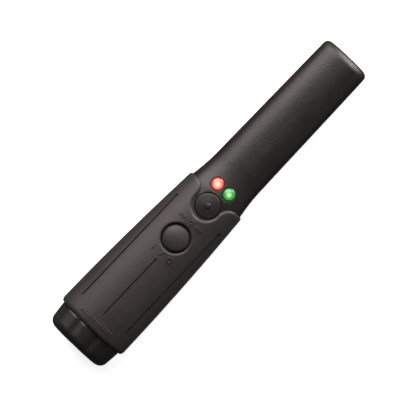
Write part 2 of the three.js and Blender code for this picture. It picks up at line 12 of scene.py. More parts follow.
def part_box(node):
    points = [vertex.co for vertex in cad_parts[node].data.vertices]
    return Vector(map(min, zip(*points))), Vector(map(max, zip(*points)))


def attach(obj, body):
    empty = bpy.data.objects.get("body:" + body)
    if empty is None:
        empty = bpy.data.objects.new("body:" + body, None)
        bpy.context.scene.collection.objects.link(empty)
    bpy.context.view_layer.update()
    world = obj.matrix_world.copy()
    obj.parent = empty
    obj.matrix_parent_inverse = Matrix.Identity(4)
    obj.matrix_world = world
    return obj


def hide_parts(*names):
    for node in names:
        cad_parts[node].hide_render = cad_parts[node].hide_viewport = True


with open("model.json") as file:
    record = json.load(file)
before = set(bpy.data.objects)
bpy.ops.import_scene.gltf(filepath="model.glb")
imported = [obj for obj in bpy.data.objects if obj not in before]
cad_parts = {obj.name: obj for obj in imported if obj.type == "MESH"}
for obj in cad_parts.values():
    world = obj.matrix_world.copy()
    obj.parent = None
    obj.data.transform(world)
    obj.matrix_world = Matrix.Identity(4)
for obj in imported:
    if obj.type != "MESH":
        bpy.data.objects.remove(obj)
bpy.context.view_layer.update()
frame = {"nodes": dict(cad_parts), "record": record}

mm = 0.001
weld = 1e-4  # points closer than this are one


def boxOf(node):
    low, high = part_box(node)
    return low / mm, high / mm


def middleOf(node):
    low, high = boxOf(node)
    return (low + high) / 2


def between(a, b, share):
    return a + (b - a) * share


def share01(value, start, end):
    return min(max((value - start) / (end - start), 0.0), 1.0)


def spread(start, end, pitch):
    count = max(1, round(abs(end - start) / pitch))
    return [between(start, end, i / count) for i in range(count + 1)]


# The moulded skins: how wide and how tall the probe is along its length.
gripLow, gripHigh = boxOf("grip_sleeve")
shellLow, shellHigh = boxOf("rear_shell")
capLow, capHigh = boxOf("battery_cap")

grip = {
    "top": gripHigh.y,
    "butt": gripLow.y,
    "halfWidth": gripHigh.x,
    "front": gripHigh.z,
    "widthTaper": 3.9,
    "widthEase": 1.8,
    "frontTaper": 2.8,
    "frontEase": 1.3,
    "sideStep": 1.3,  # rubber and its gap, beside the horns
    "sideStepAtButt": 1.9,
    "frontStep": 2.2,
    "rearStep": 1.6,
    "power": 2.15,
}
paddle = {
    "halfWidth": 17.75,
    "tipHalfWidth": 16.7,
    "front": 22.4,
    "tipFront": 21.4,
    "flareEnd": 24.0,
    "corner": 3.3,  # the tip's corners, seen from the front
    "nose": 4.9,  # how far back its front edge starts to turn down
    "noseDrop": 3.9,
    "bevel": 1.4,  # 1 is a plain round edge, and 2 a straight bevel
    "crown": 0.5,
    "noseRings": 14,
    "noseTurn": 80,
    "tipRings": 6,
    "tipInset": 9.3,
    "power": 2.35,
    "ringPitch": 2.5,
    "flarePitch": 1.4,
    "tip": shellHigh.y,
    "butt": shellLow.y,
    "wall": 2.0,
    "parting": 13.0,
}
cap = {
    "top": -106.2,
    "halfWidth": capHigh.x,
    "rear": capLow.z,
    "front": capHigh.z,
    "butt": capLow.y,
    "spigot": capHigh.y,
    "widthTaper": 1.4,
    "heightTaper": 1.2,
    "corner": 5.0,
    "wall": 2.4,
    "flutes": 8,
    "fluteDepth": 0.6,
    "fluteEdge": 3,
    "ringPitch": 0.9,
    "endInset": 9.2,
    "endRim": 7.0,
    "cornerRings": 8,
    "sealGroove": (-103.7, -101.9),
    "sealDepth": 0.8,
}
spigotInset = paddle["wall"] + 0.3  # from the housing's skin to what fits inside it
rearFlat = 1.7  # how far the round back would reach below the flat one
flatSoftness = 0.5
frontCut = (15.0, 45.0)  # openings in the front are cut between these heights


def gripSkin(y):
    up = share01(y, grip["butt"], grip["top"])
    return (
        grip["halfWidth"] - grip["widthTaper"] * up ** grip["widthEase"],
        0.0,
        grip["front"] - grip["frontTaper"] * up ** grip["frontEase"],
        grip["power"],
    )


def housingSkin(y):
    halfWidth, rear, front, power = gripSkin(y)
    up = share01(y, grip["butt"], grip["top"])
    halfWidth -= between(grip["sideStepAtButt"], grip["sideStep"], up)
    front -= grip["frontStep"]
    if y <= grip["top"]:
        return halfWidth, grip["rearStep"], front, power
    along = (y - paddle["flareEnd"]) / (paddle["tip"] - paddle["flareEnd"])
    flare = (1 - share01(y, grip["top"], paddle["flareEnd"])) ** 2
    return (
        between(between(paddle["halfWidth"], paddle["tipHalfWidth"], along), halfWidth, flare),
        grip["rearStep"],
        between(between(paddle["front"], paddle["tipFront"], along), front, flare),
        between(paddle["power"], power, flare),
    )


def capSkin(y):
    down = share01(y, cap["top"], cap["butt"])
    return (
        cap["halfWidth"] - cap["widthTaper"] * down,
        cap["rear"] + cap["heightTaper"] * down / 2,
        cap["front"] - cap["heightTaper"] * down,
        grip["power"],
    )


def skinPoint(section, y, inset, turn):
    halfWidth, rear, front, power = section
    across, up = math.cos(turn), math.sin(turn)
    reach = (front - rear) / 2 - inset + (rearFlat if up < 0 else 0.0)
    x = (halfWidth - inset) * math.copysign(abs(across) ** (2 / power), across)
    z = (rear + front) / 2 + reach * math.copysign(abs(up) ** (2 / power), up)
    over = z - (rear + inset)  # the back is flat, with a soft turn into the sides
    z = rear + inset + (over + math.hypot(over, flatSoftness)) / 2
    return Vector((x, y, z))


def frontHeight(skin, x, y):
    halfWidth, rear, front, power = skin(y)
    share = min(abs(x) / halfWidth, 1.0) ** power
    return (rear + front) / 2 + (front - rear) / 2 * (1 - share) ** (1 / power)


def newMesh():
    bm = bmesh.new()
    bm.verts.layers.float.new("turn")
    for name in ("home", "out", "way"):
        bm.verts.layers.float_vector.new(name)
    return bm


# Puts edges and faces in the order of their vertices, because the operators that extrude leave
# them in a new order on each run.
def settle(bm):
    bm.verts.index_update()
    for parts in (bm.edges, bm.faces):
        ordered = sorted(parts, key=lambda part: sorted(vert.index for vert in part.verts))
        for i, part in enumerate(ordered):
            part.index = i
        parts.sort()


# Extrudes edges, and returns the new vertices and the edges between them.
def growEdges(bm, edges):
    grown = bmesh.ops.extrude_edge_only(bm, edges=edges)["geom"]
    verts = [g for g in grown if isinstance(g, bmesh.types.BMVert)]
    fresh = set(verts)
    rim = [g for g in grown if isinstance(g, bmesh.types.BMEdge) and fresh.issuperset(g.verts)]
    return verts, rim


# A skin through rings, each a function from the turn round the probe to a point.
def loft(rings, segments=128, capStart=0, capEnd=0):
    bm = newMesh()
    turn = bm.verts.layers.float["turn"]
    verts = bmesh.ops.create_circle(bm, cap_ends=False, segments=segments, radius=1.0)["verts"]
    for vert in verts:
        vert[turn] = math.atan2(vert.co.y, vert.co.x)
    edges = list(bm.edges)
    first = edges
    for number, ring in enumerate(rings):
        if number:
            verts, edges = growEdges(bm, edges)
        for vert in verts:
            vert.co = ring(vert[turn])
    for loop, material in ((first, capStart), (edges, capEnd)):
        if material is not None:
            bmesh.ops.edgeloop_fill(bm, edges=loop, mat_nr=material)
    settle(bm)
    bmesh.ops.recalc_face_normals(bm, faces=bm.faces)
    return bm


def skinRing(skin, y, inset=0.0):
    section = skin(y)
    return lambda turn: skinPoint(section, y, inset, turn)


def looseObject(bm, name):
    mesh = bpy.data.meshes.new(name)
    mesh.materials.append(None)
    mesh.materials.append(None)
    bm.to_mesh(mesh)
    loose = bpy.data.objects.new(name, mesh)
    bpy.context.scene.collection.objects.link(loose)
    return loose


# Takes closed cutters away from a closed skin. Walls cut by a marked cutter carry material 1.
def carve(bm, cutters, mark=1):
    body = looseObject(bm, "carved")
    tools = []
    for cutter in cutters:
        for face in cutter.faces:
            face.material_index = mark
        tool = looseObject(cutter, "cutter")
        tool.hide_render = True
        cut = body.modifiers.new("cut", "BOOLEAN")
        cut.operation = "DIFFERENCE"
        cut.solver = "EXACT"
        cut.object = tool
        tools.append(tool)
        cutter.free()
    result = newMesh()
    evaluated = body.evaluated_get(bpy.context.evaluated_depsgraph_get())
    result.from_mesh(evaluated.to_mesh())
    evaluated.to_mesh_clear()
    for used in [body, *tools]:
        bpy.data.objects.remove(used)
    bm.free()
    return result


def openMarked(bm):
    marked = [face for face in bm.faces if face.material_index == 1]
    bmesh.ops.delete(bm, geom=marked, context="FACES")


def cutLevel(bm, height, keepAbove):
    bmesh.ops.bisect_plane(
        bm,
        geom=bm.verts[:] + bm.edges[:] + bm.faces[:],
        plane_co=(0, 0, height),
        plane_no=(0, 0, 1),
        clear_inner=keepAbove,
        clear_outer=not keepAbove,
    )


# Gives an open skin a wall. Each open edge is rolled over by the reach and drop that edgeRule
# returns with its direction, then taken straight in to the depth of the wall.
def giveWall(bm, depth, edgeRule, steps=6):
    turn = bm.verts.layers.float["turn"]
    home = bm.verts.layers.float_vector["home"]
    out = bm.verts.layers.float_vector["out"]
    way = bm.verts.layers.float_vector["way"]
    bm.normal_update()
    rim = [edge for edge in bm.edges if edge.is_boundary]
    for vert in bm.verts:
        vert[home], vert[out] = vert.co, vert.normal
    rules = []
    for vert in {v for edge in rim for v in edge.verts}:
        heading, reach, drop = edgeRule(vert.co, vert.normal)
        heading = (heading - vert.normal * heading.dot(vert.normal)).normalized()
        vert[way] = heading * reach
        vert[turn] = len(rules)
        rules.append(drop)
    inner = bmesh.ops.duplicate(bm, geom=bm.verts[:] + bm.edges[:] + bm.faces[:])["geom"]
    innerRim = [g for g in inner if isinstance(g, bmesh.types.BMEdge) and g.is_boundary]
    for vert in (g for g in inner if isinstance(g, bmesh.types.BMVert)):
        vert.co = vert[home] - vert[out] * depth(vert[home], vert[out])

    def rolled(vert, angle):
        drop = rules[round(vert[turn])] * (1 - math.cos(angle))
        return vert[home] + vert[way] * math.sin(angle) - vert[out] * drop

    def foot(vert):
        return vert[home] + vert[way] - vert[out] * depth(vert[home], vert[out])

    def grow(edges, place):
        verts, edges = growEdges(bm, edges)
        for vert in verts:
            vert.co = place(vert)
        return edges

    for step in range(1, steps + 1):
        rim = grow(rim, lambda vert: rolled(vert, math.pi / 2 * step / steps))
    rim = grow(rim, foot)
    innerRim = grow(innerRim, foot)
    seam = dict.fromkeys(v for edge in rim + innerRim for v in edge.verts)
    bmesh.ops.remove_doubles(bm, verts=list(seam), dist=weld)
    settle(bm)
    bmesh.ops.recalc_face_normals(bm, faces=bm.faces)


# Rounds the corners of an outline of (across, along, radius) points.
def rounded(points, arcSteps=6):
    path = []
    for i, (x, y, radius) in enumerate(points):
        here = Vector((x, y))
        if radius == 0 or i in (0, len(points) - 1):
            path.append(here)
            continue
        back = (Vector(points[i - 1][:2]) - here).normalized()
        onward = (Vector(points[i + 1][:2]) - here).normalized()
        half = back.angle(onward) / 2
        centre = here + (back + onward).normalized() * radius / math.sin(half)
        start = here + back * radius / math.tan(half) - centre
        sweep = start.angle_signed(here + onward * radius / math.tan(half) - centre)
        for k in range(arcSteps + 1):
            path.append(centre + Matrix.Rotation(-sweep * k / arcSteps, 2) @ start)
    return path


# Spins an outline of (radius, height) points. It starts and ends on the axis, or closes on itself.
def turned(outline, x, y, z=0.0, lying=False, steps=64):
    bm = newMesh()
    verts = [bm.verts.new((p[0], 0, p[1])) for p in outline]
    edges = [bm.edges.new(pair) for pair in zip(verts, verts[1:])]
    bmesh.ops.spin(
        bm,
        geom=verts + edges,
        axis=(0, 0, 1),
        cent=(0, 0, 0),
        angle=2 * math.pi,
        steps=steps,
        use_merge=True,
    )
    bmesh.ops.remove_doubles(bm, verts=bm.verts, dist=weld)
    settle(bm)
    if lying:
        bmesh.ops.rotate(bm, verts=bm.verts, matrix=Matrix.Rotation(-math.pi / 2, 3, "X"))
    bmesh.ops.translate(bm, verts=bm.verts, vec=(x, y, z))
    bmesh.ops.recalc_face_normals(bm, faces=bm.faces)
    return bm


def bevelEdges(bm, edges, offset, segments):
    bmesh.ops.bevel(
        bm,
        geom=edges,
        offset=offset,
        affect="EDGES",
        segments=segments,
        profile=0.5,
        material=-1,
    )


# A block with rounded edges.
def softBlock(low, high, radius, segments=4):
    bm = newMesh()
    bmesh.ops.create_cube(bm, size=1.0)
    size = Vector(high) - Vector(low)
    bmesh.ops.scale(bm, verts=bm.verts, vec=size)
    bmesh.ops.translate(bm, verts=bm.verts, vec=(Vector(high) + Vector(low)) / 2)
    bevelEdges(bm, bm.edges[:], radius, segments)
    return bm


def join(bm, other):
    mesh = bpy.data.meshes.new("joined")
    other.to_mesh(mesh)
    bm.from_mesh(mesh)
    bpy.data.meshes.remove(mesh)
    other.free()
    return bm


def makePiece(name, bm, finish, body, replaced=(), sharpAngle=40):
    for face in bm.faces:
        face.material_index = 0
    bmesh.ops.scale(bm, verts=bm.verts, vec=(mm, mm, mm))
    mesh = bpy.data.meshes.new(name)
    for layers in (bm.verts.layers.float, bm.verts.layers.float_vector):
        for layer in list(layers.values()):
            layers.remove(layer)
    bm.to_mesh(mesh)
    bm.free()
    mesh.materials.append(finish)
    mesh.shade_smooth()
    mesh.set_sharp_from_angle(angle=math.radians(sharpAngle))
    piece = bpy.data.objects.new(name, mesh)
    bpy.context.scene.collection.objects.link(piece)
    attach(piece, body)
    if replaced:
        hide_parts(*replaced)
    return piece


# A socket that takes part in sums, so that shader maths reads as plain expressions.
class Flow:
    def __init__(self, finish, socket):
        self.finish = finish
        self.socket = socket

    def __getitem__(self, output):
        return Flow(self.finish, self.socket.node.outputs[output])

    def maths(self, operation, *others):
        return self.finish.add("Math", {"operation": operation}, [self, *others])

    def __add__(self, other):
        return self.maths("ADD", other)

    def __sub__(self, other):
        return self.maths("SUBTRACT", other)

    def __rsub__(self, other):
        return self.finish.add("Math", {"operation": "SUBTRACT"}, [other, self])

    def __mul__(self, other):
        return self.maths("MULTIPLY", other)

    def __truediv__(self, other):
        return self.maths("DIVIDE", other)

    def __pow__(self, other):
        return self.maths("POWER", other)

    def __gt__(self, other):
        return self.maths("GREATER_THAN", other)

    __radd__ = __add__
    __rmul__ = __mul__


# One material while it is being made.
class Finish:
    def __init__(self, name):
        self.material = bpy.data.materials.new(name)
        self.material.use_nodes = True
        self.tree = self.material.node_tree
        self.tree.nodes.clear()
        self.place = self.add("TexCoord")["Object"]

    def add(self, kind, settings=None, sockets=()):
        node = self.tree.nodes.new("ShaderNode" + kind)
        for key, value in (settings or {}).items():
            if key == "stops":
                ramp = node.color_ramp.elements
                while len(ramp) < len(value):
                    ramp.new(1.0)
                for element, (position, colour) in zip(ramp, value):
                    element.position = position
                    element.color = (*colour, 1.0)
            else:
                setattr(node, key, value)
        for key, value in sockets.items() if isinstance(sockets, dict) else enumerate(sockets):
            if isinstance(value, Flow):
                self.tree.links.new(value.socket, node.inputs[key])
            elif hasattr(value, "__len__") and len(value) == 3 and node.inputs[key].type == "RGBA":
                node.inputs[key].default_value = (*value, 1.0)
            else:
                node.inputs[key].default_value = value
        return Flow(self, node.outputs[0])

    def noise(self, sizeMm, detail=2.0, roughness=0.5, place=None):
        sockets = {"Vector": place or self.place, "Scale": 1 / (sizeMm * mm)}
        return self.add("TexNoise", None, {**sockets, "Detail": detail, "Roughness": roughness})

    def ramp(self, value, *stops):
        return self.add("ValToRGB", {"stops": stops}, [value])

    def smooth(self, value, start, end, low=0.0, high=1.0):
        settings = {"interpolation_type": "SMOOTHSTEP"}
        return self.add("MapRange", settings, [value, start, end, low, high])

    def mix(self, share, a, b):
        return self.add("Mix", {"data_type": "RGBA"}, {0: share, 6: a, 7: b})[2]

    def bump(self, height, depthMm):
        return self.add("Bump", None, {"Height": height, "Distance": depthMm * mm, "Strength": 1.0})

    def edges(self, start=0.51, end=0.58):
        return self.smooth(self.add("NewGeometry")["Pointiness"], start, end)

    def done(self, shader):
        output = self.tree.nodes.new("ShaderNodeOutputMaterial")
        self.tree.links.new(shader.socket, output.inputs["Surface"])
        return self.material

    def plain(self, sockets):
        return self.done(self.add("BsdfPrincipled", None, sockets))


# Grain is in millimetres across, and depth in millimetres of bump.
mouldedLook = {
    "housing": {
        "tint": (0.0128, 0.0108, 0.0100),
        "worn": (0.030, 0.026, 0.025),
        "grain": 0.9,
        "depth": 0.11,
        "rough": 0.41,
        "shine": 0.40,
    },
    "cap": {
        "tint": (0.0105, 0.0098, 0.0085),
        "worn": (0.026, 0.024, 0.022),
        "grain": 0.6,
        "depth": 0.018,
        "rough": 0.37,
        "shine": 1.0,
    },
    "black": {
        "tint": (0.012, 0.012, 0.013),
        "worn": (0.03, 0.03, 0.03),
        "grain": 0.4,
        "depth": 0.01,
        "rough": 0.45,
        "shine": 0.5,
    },
    "nylon": {
        "tint": (0.62, 0.57, 0.47),
        "worn": (0.72, 0.68, 0.60),
        "grain": 0.5,
        "depth": 0.01,
        "rough": 0.42,
        "shine": 0.5,
    },
}


# Hard plastic from a spark-eroded mould: fine even grain, faint blotches, edges rubbed a little lighter.
def mouldedPlastic(name, look):
    finish = Finish(name)
    blotch = finish.noise(14, 3.0, 0.6)
    grain = finish.noise(look["grain"], 2.0, 0.6)
    broad = finish.noise(look["grain"] * 3.2, 2.0, 0.5)
    tint = look["tint"]
    deep = tuple(c * 0.86 for c in tint)
    light = tuple(c * 1.18 for c in tint)
    colour = finish.ramp(blotch * 0.6 + grain * 0.4, (0.35, deep), (0.65, light))
    colour = finish.mix(finish.edges() * 0.55, colour, look["worn"])
    rough = look["rough"] + (blotch - 0.5) * 0.16 + (grain - 0.5) * 0.10
    height = grain * 0.7 + broad * 0.6
    return finish.plain(
        {
            "Base Color": colour,
            "Roughness": rough,
            "Normal": finish.bump(height, look["depth"]),
            "Specular IOR Level": look["shine"],
        }
    )


rubberLook = {
    "grip": {
        "tint": (0.0225, 0.0190, 0.0172),
        "worn": (0.045, 0.039, 0.036),
        "rough": 0.50,
        "depth": 0.045,
    },
    "button": {
        "tint": (0.0235, 0.0200, 0.0180),
        "worn": (0.045, 0.039, 0.036),
        "rough": 0.47,
        "depth": 0.012,
    },
    "seal": {
        "tint": (0.20, 0.045, 0.025),
        "worn": (0.26, 0.08, 0.05),
        "rough": 0.5,
        "depth": 0.006,
    },
}


# Soft-touch rubber: satin, with a very fine texture, handling marks and a trace of dust sheen.
def softRubber(name, look):
    finish = Finish(name)
    handled = finish.noise(22, 4.0, 0.6)
    fine = finish.noise(0.35, 2.0, 0.6)
    soft = finish.noise(2.4, 2.0, 0.5)
    tint = look["tint"]
    deep = tuple(c * 0.88 for c in tint)
    light = tuple(c * 1.15 for c in tint)
    colour = finish.ramp(handled * 0.7 + fine * 0.3, (0.36, deep), (0.64, light))
    colour = finish.mix(finish.edges(0.52, 0.62) * 0.5, colour, look["worn"])
    rough = look["rough"] + (handled - 0.5) * 0.18 + (fine - 0.5) * 0.08
    height = fine * 0.6 + soft * 1.2
    return finish.plain(
        {
            "Base Color": colour,
            "Roughness": rough,
            "Normal": finish.bump(height, look["depth"]),
            "Sheen Weight": 0.05,
            "Sheen Roughness": 0.5,
        }
    )


lensLook = {
    "red": {
        "body": (0.30, 0.02, 0.015),
        "stops": [
            (0.00, (0.96, 0.95, 0.67)),
            (0.30, (0.95, 0.80, 0.55)),
            (0.44, (0.86, 0.44, 0.34)),
            (0.60, (0.78, 0.30, 0.24)),
            (0.76, (0.52, 0.13, 0.11)),
            (0.90, (0.22, 0.02, 0.02)),
            (1.00, (0.10, 0.01, 0.01)),
        ],
    },
    "green": {
        "body": (0.02, 0.14, 0.03),
        "stops": [
            (0.00, (0.62, 0.96, 0.52)),
            (0.26, (0.50, 0.90, 0.45)),
            (0.38, (0.19, 0.56, 0.18)),
            (0.52, (0.05, 0.23, 0.045)),
            (0.68, (0.08, 0.29, 0.07)),
            (0.80, (0.02, 0.11, 0.02)),
            (0.92, (0.004, 0.02, 0.004)),
        ],
    },
}


# A tinted lens lit from inside: brightest over the lamp's chip, deep colour at the rim.
def litLens(name, look, centre, radius):
    finish = Finish(name)
    offset = finish.add("VectorMath", {"operation": "SUBTRACT"}, [finish.place, centre])
    apart = finish.add("SeparateXYZ", None, [offset])
    away = (apart["X"] ** 2.0 + apart["Y"] ** 2.0) ** 0.5 / radius
    flutter = (finish.noise(0.9, 1.0) - 0.5) * 0.08
    glow = finish.ramp(away + flutter, *look["stops"])
    return finish.plain(
        {
            "Base Color": look["body"],
            "Roughness": 0.14,
            "Emission Color": glow,
            "Emission Strength": 1.0,
            "Coat Weight": 0.4,
            "Coat Roughness": 0.05,
        }
    )


# Clear plastic with a faint haze.
def clearPlastic(name):
    finish = Finish(name)
    haze = finish.noise(3.0, 3.0) * 0.06
    return finish.plain(
        {
            "Base Color": (0.94, 0.96, 0.97),
            "Roughness": haze,
            "Transmission Weight": 1.0,
            "IOR": 1.49,
        }
    )


metalLook = {
    "steel": {"tint": (0.52, 0.52, 0.53), "rough": 0.32},
    "brass": {"tint": (0.72, 0.50, 0.22), "rough": 0.30},
    "reflector": {"tint": (0.86, 0.87, 0.88), "rough": 0.08},
}


# Plated or turned metal, with drawn lines and small stains.
def metal(name, look):
    finish = Finish(name)
    drawn = finish.add("Mapping", None, {"Vector": finish.place, "Scale": (1.0, 12.0, 1.0)})
    lines = finish.noise(0.5, 2.0, 0.5, drawn)
    stain = finish.noise(2.5, 3.0)
    tint = look["tint"]
    dull = tuple(c * 0.72 for c in tint)
    colour = finish.ramp(stain, (0.35, dull), (0.60, tint))
    rough = look["rough"] + (lines - 0.5) * 0.14 + (stain - 0.5) * 0.12
    return finish.plain(
        {
            "Base Color": colour,
            "Metallic": 1.0,
            "Roughness": rough,
            "Normal": finish.bump(lines, 0.004),
        }
    )


# The gap colour is painted shade for the grooves between the wire's turns.
wireLook = {"pitch": 0.35, "wobble": 0.08, "gap": (0.16, 0.035, 0.012), "wire": (0.62, 0.19, 0.07)}


# Enamelled copper wire wound side by side along the coil, with painted shade darkening the grooves
# between the turns.
def woundWire(name):
    finish = Finish(name)
    along = finish.add("SeparateXYZ", None, [finish.place])["Y"]
    wobble = (finish.noise(5.0) - 0.5) * (wireLook["wobble"] * mm)
    turns = (along + wobble) * (2 * math.pi / (wireLook["pitch"] * mm))
    ridge = turns.maths("SINE") * 0.5 + 0.5
    # Painted shade: the colour darkens towards the gap colour in the grooves between turns.
    colour = finish.ramp(ridge, (0.0, wireLook["gap"]), (1.0, wireLook["wire"]))
    return finish.plain(
        {
            "Base Color": colour,
            "Metallic": 0.75,
            "Roughness": 0.30 + (1 - ridge) * 0.2,
            "Normal": finish.bump(ridge, 0.06),
        }
    )


# Dark pressed ferrite, with fine specks.
def ferrite(name):
    finish = Finish(name)
    speck = finish.noise(0.8, 4.0, 0.7)
    colour = finish.ramp(speck, (0.35, (0.018, 0.018, 0.020)), (0.70, (0.050, 0.050, 0.055)))
    return finish.plain(
        {"Base Color": colour, "Roughness": 0.45 + speck * 0.3, "Normal": finish.bump(speck, 0.03)}
    )


# Solder mask over copper tracks that run square to each other, with bright pads.
def circuitBoard(name):
    finish = Finish(name)
    tracks = finish.add(
        "TexBrick",
        {"offset": 0.35},
        {"Vector": finish.place, "Scale": 260.0, "Mortar Size": 0.06, "Mortar Smooth": 0.2},
    )["Fac"]
    dots = finish.add("TexVoronoi", None, {"Vector": finish.place, "Scale": 420.0})["Distance"]
    pads = finish.smooth(dots, 0.16, 0.12)
    colour = finish.mix(tracks, (0.012, 0.085, 0.035), (0.030, 0.170, 0.070))
    colour = finish.mix(pads, colour, (0.62, 0.60, 0.52))
    return finish.plain(
        {
            "Base Color": colour,
            "Metallic": pads * 0.9,
            "Roughness": 0.32 + finish.noise(2.0) * 0.12,
            "Normal": finish.bump(tracks + pads, 0.03),
        }
    )


# Closed-cell foam: small torn cells all over.
def foam(name):
    finish = Finish(name)
    cells = finish.add("TexVoronoi", None, {"Vector": finish.place, "Scale": 1600.0})["Distance"]
    tone = finish.noise(4.0, 3.0)
    dark, pale = (0.028, 0.029, 0.031), (0.085, 0.088, 0.092)
    colour = finish.ramp(cells * 0.7 + tone * 0.4, (0.15, dark), (0.75, pale))
    return finish.plain({"Base Color": colour, "Roughness": 0.95, "Normal": finish.bump(cells, 0.20)})


insulationLook = {"red": (0.40, 0.022, 0.015), "black": (0.012, 0.012, 0.012)}


# Soft plastic round a wire.
def insulation(name, tint):
    finish = Finish(name)
    soft = finish.noise(1.5, 2.0)
    lighter = tuple(c * 1.25 for c in tint)
    colour = finish.ramp(soft, (0.35, tint), (0.70, lighter))
    return finish.plain(
        {"Base Color": colour, "Roughness": 0.36 + soft * 0.14, "Normal": finish.bump(soft, 0.01)}
    )


batteryLook = {
    "case": (0.022, 0.045, 0.115),
    "band": (0.55, 0.25, 0.06),
    "crimp": (0.42, 0.42, 0.43),
    "crimpWidth": 1.1,
    "bandStart": 10.0,
    "bandEnd": 21.0,
}


# A printed steel battery can: two bands of colour between bare crimped ends.
def batteryLabel(name, low, high):
    finish = Finish(name)
    along = finish.add("SeparateXYZ", None, [finish.place])["Y"] / mm
    rub = finish.noise(1.2, 4.0, 0.7)
    start = high.y - batteryLook["bandEnd"]
    end = high.y - batteryLook["bandStart"]
    band = (along > start) * (1 - (along > end))
    width = batteryLook["crimpWidth"]
    crimp = (along > high.y - width) + (1 - (along > low.y + width))
    scuffed = finish.smooth(rub, 0.66, 0.74) * finish.edges(0.50, 0.56)
    colour = finish.mix(band, batteryLook["case"], batteryLook["band"])
    colour = finish.mix(crimp.maths("MAXIMUM", scuffed), colour, batteryLook["crimp"])
    return finish.plain(
        {
            "Base Color": colour,
            "Metallic": 0.15 + crimp * 0.8,
            "Roughness": 0.26 + rub * 0.16,
            "Normal": finish.bump(rub, 0.008),
        }
    )


# The card is pale to the camera, and dim to the probe so that its sides stay dark.
def paleFloor(name):
    finish = Finish(name)
    tone = finish.ramp(finish.noise(60, 3.0), (0.3, (0.80, 0.80, 0.80)), (0.7, (0.82, 0.82, 0.82)))
    matt = finish.add("BsdfDiffuse", None, {"Color": tone})
    lit = finish.add("Emission", None, {"Color": (1.0, 1.0, 1.0), "Strength": 0.80})
    pale = finish.add("AddShader", None, [matt, lit])
    dim = finish.add("BsdfDiffuse", None, {"Color": (0.07, 0.07, 0.07)})
    seen = finish.add("LightPath")["Is Camera Ray"]
    return finish.done(finish.add("MixShader", None, [seen, dim, pale]))


finishes = {
    "housing_plastic": mouldedPlastic("housingPlastic", mouldedLook["housing"]),
    "cap_plastic": mouldedPlastic("capPlastic", mouldedLook["cap"]),
    "black_plastic": mouldedPlastic("blackPlastic", mouldedLook["black"]),
    "pale_plastic": mouldedPlastic("naturalNylon", mouldedLook["nylon"]),
    "grip_rubber": softRubber("gripRubber", rubberLook["grip"]),
    "button_rubber": softRubber("buttonRubber", rubberLook["button"]),
    "seal_rubber": softRubber("sealSilicone", rubberLook["seal"]),
    "clear_lens": clearPlastic("clearLens"),
    "reflector": metal("metallisedReflector", metalLook["reflector"]),
    "steel": metal("platedSteel", metalLook["steel"]),
    "brass": metal("turnedBrass", metalLook["brass"]),
    "copper_wire": woundWire("enamelledCopper"),
    "ferrite": ferrite("ferriteRod"),
    "circuit_board": circuitBoard("circuitBoard"),
    "foam": foam("closedCellFoam"),
    "red_wire": insulation("redInsulation", insulationLook["red"]),
    "black_wire": insulation("blackInsulation", insulationLook["black"]),
}
lensBoxes = {colour: boxOf(colour + "_lens") for colour in ("red", "green")}
lensCentres = {colour: (low + high) / 2 for colour, (low, high) in lensBoxes.items()}
lensRadius = 4.1
for colour, centre in lensCentres.items():
    look = lensLook[colour]
    finishes[colour + "_lens"] = litLens(colour + "Lens", look, centre * mm, lensRadius * mm)
batteryBox = boxOf("battery")
finishes["battery_can"] = batteryLabel("batteryLabel", *batteryBox)
print("finishes made:", len(finishes))


camera = {
    "lean": 46.5,  # the probe's tip points this far above the view's horizontal
    "height": 1.12,
    "wide": 0.24155,  # metres across the view at the probe
    "offset": (-7.0 * mm, 0.32 * mm),  # from the probe's middle to the view's, right and up
    "sensor": 36.0,
    "focus": 0.018,  # height of the probe's middle
}


def setCamera():
    lean = math.radians(camera["lean"])
    right = Vector((math.sin(lean), math.cos(lean), 0))
    up = Vector((-math.cos(lean), math.sin(lean), 0))
    place = right * camera["offset"][0] + up * camera["offset"][1]
    lens = bpy.data.cameras.new("camera")
    lens.sensor_width = camera["sensor"]
    lens.lens = camera["sensor"] * (camera["height"] - camera["focus"]) / camera["wide"]
    lens.clip_end = 20
    seen = bpy.data.objects.new("camera", lens)
    seen.location = (place.x, place.y, camera["height"])
    seen.rotation_euler = (0, 0, math.pi / 2 - lean)
    bpy.context.scene.collection.objects.link(seen)
    bpy.context.scene.camera = seen
    return right, up


# Each lamp stands up and right of the probe as the camera sees it, in metres.
lamps = {
    "key": {
        "up": 0.97,
        "right": -0.14,
        "height": 0.88,
        "size": 1.3,
        "power": 33.5,
        "tint": (1.0, 0.93, 0.90),
    },
    "rim": {
        "up": 0.72,
        "right": 0.84,
        "height": 0.28,
        "size": 0.6,
        "power": 14.5,
        "tint": (1.0, 0.97, 0.95),
    },
    "fill": {
        "up": -0.55,
        "right": 0.75,
        "height": 0.40,
        "size": 0.60,
        "power": 0.3,
        "tint": (0.95, 0.97, 1.0),
    },
}


def setLamps(right, up):
    for name, lamp in lamps.items():
        light = bpy.data.lights.new(name, "AREA")
        light.shape = "SQUARE"
        light.size = lamp["size"]
        light.energy = lamp["power"]
        light.color = lamp["tint"]
        placed = bpy.data.objects.new(name, light)
        placed.location = up * lamp["up"] + right * lamp["right"] + Vector((0, 0, lamp["height"]))
        placed.rotation_euler = (-placed.location).to_track_quat("-Z", "Y").to_euler()
        bpy.context.scene.collection.objects.link(placed)


# The room is dim grey to the probe and pale to the camera.
def setRoom(light=0.03, seen=0.93):
    world = bpy.data.worlds.new("room")
    world.use_nodes = True
    tree = world.node_tree
    background = tree.nodes["Background"]
    ray = tree.nodes.new("ShaderNodeLightPath")
    level = tree.nodes.new("ShaderNodeMapRange")
    level.inputs["To Min"].default_value = light
    level.inputs["To Max"].default_value = seen
    tree.links.new(ray.outputs["Is Camera Ray"], level.inputs["Value"])
    tree.links.new(level.outputs[0], background.inputs["Strength"])
    background.inputs["Color"].default_value = (1, 1, 1, 1)
    bpy.context.scene.world = world


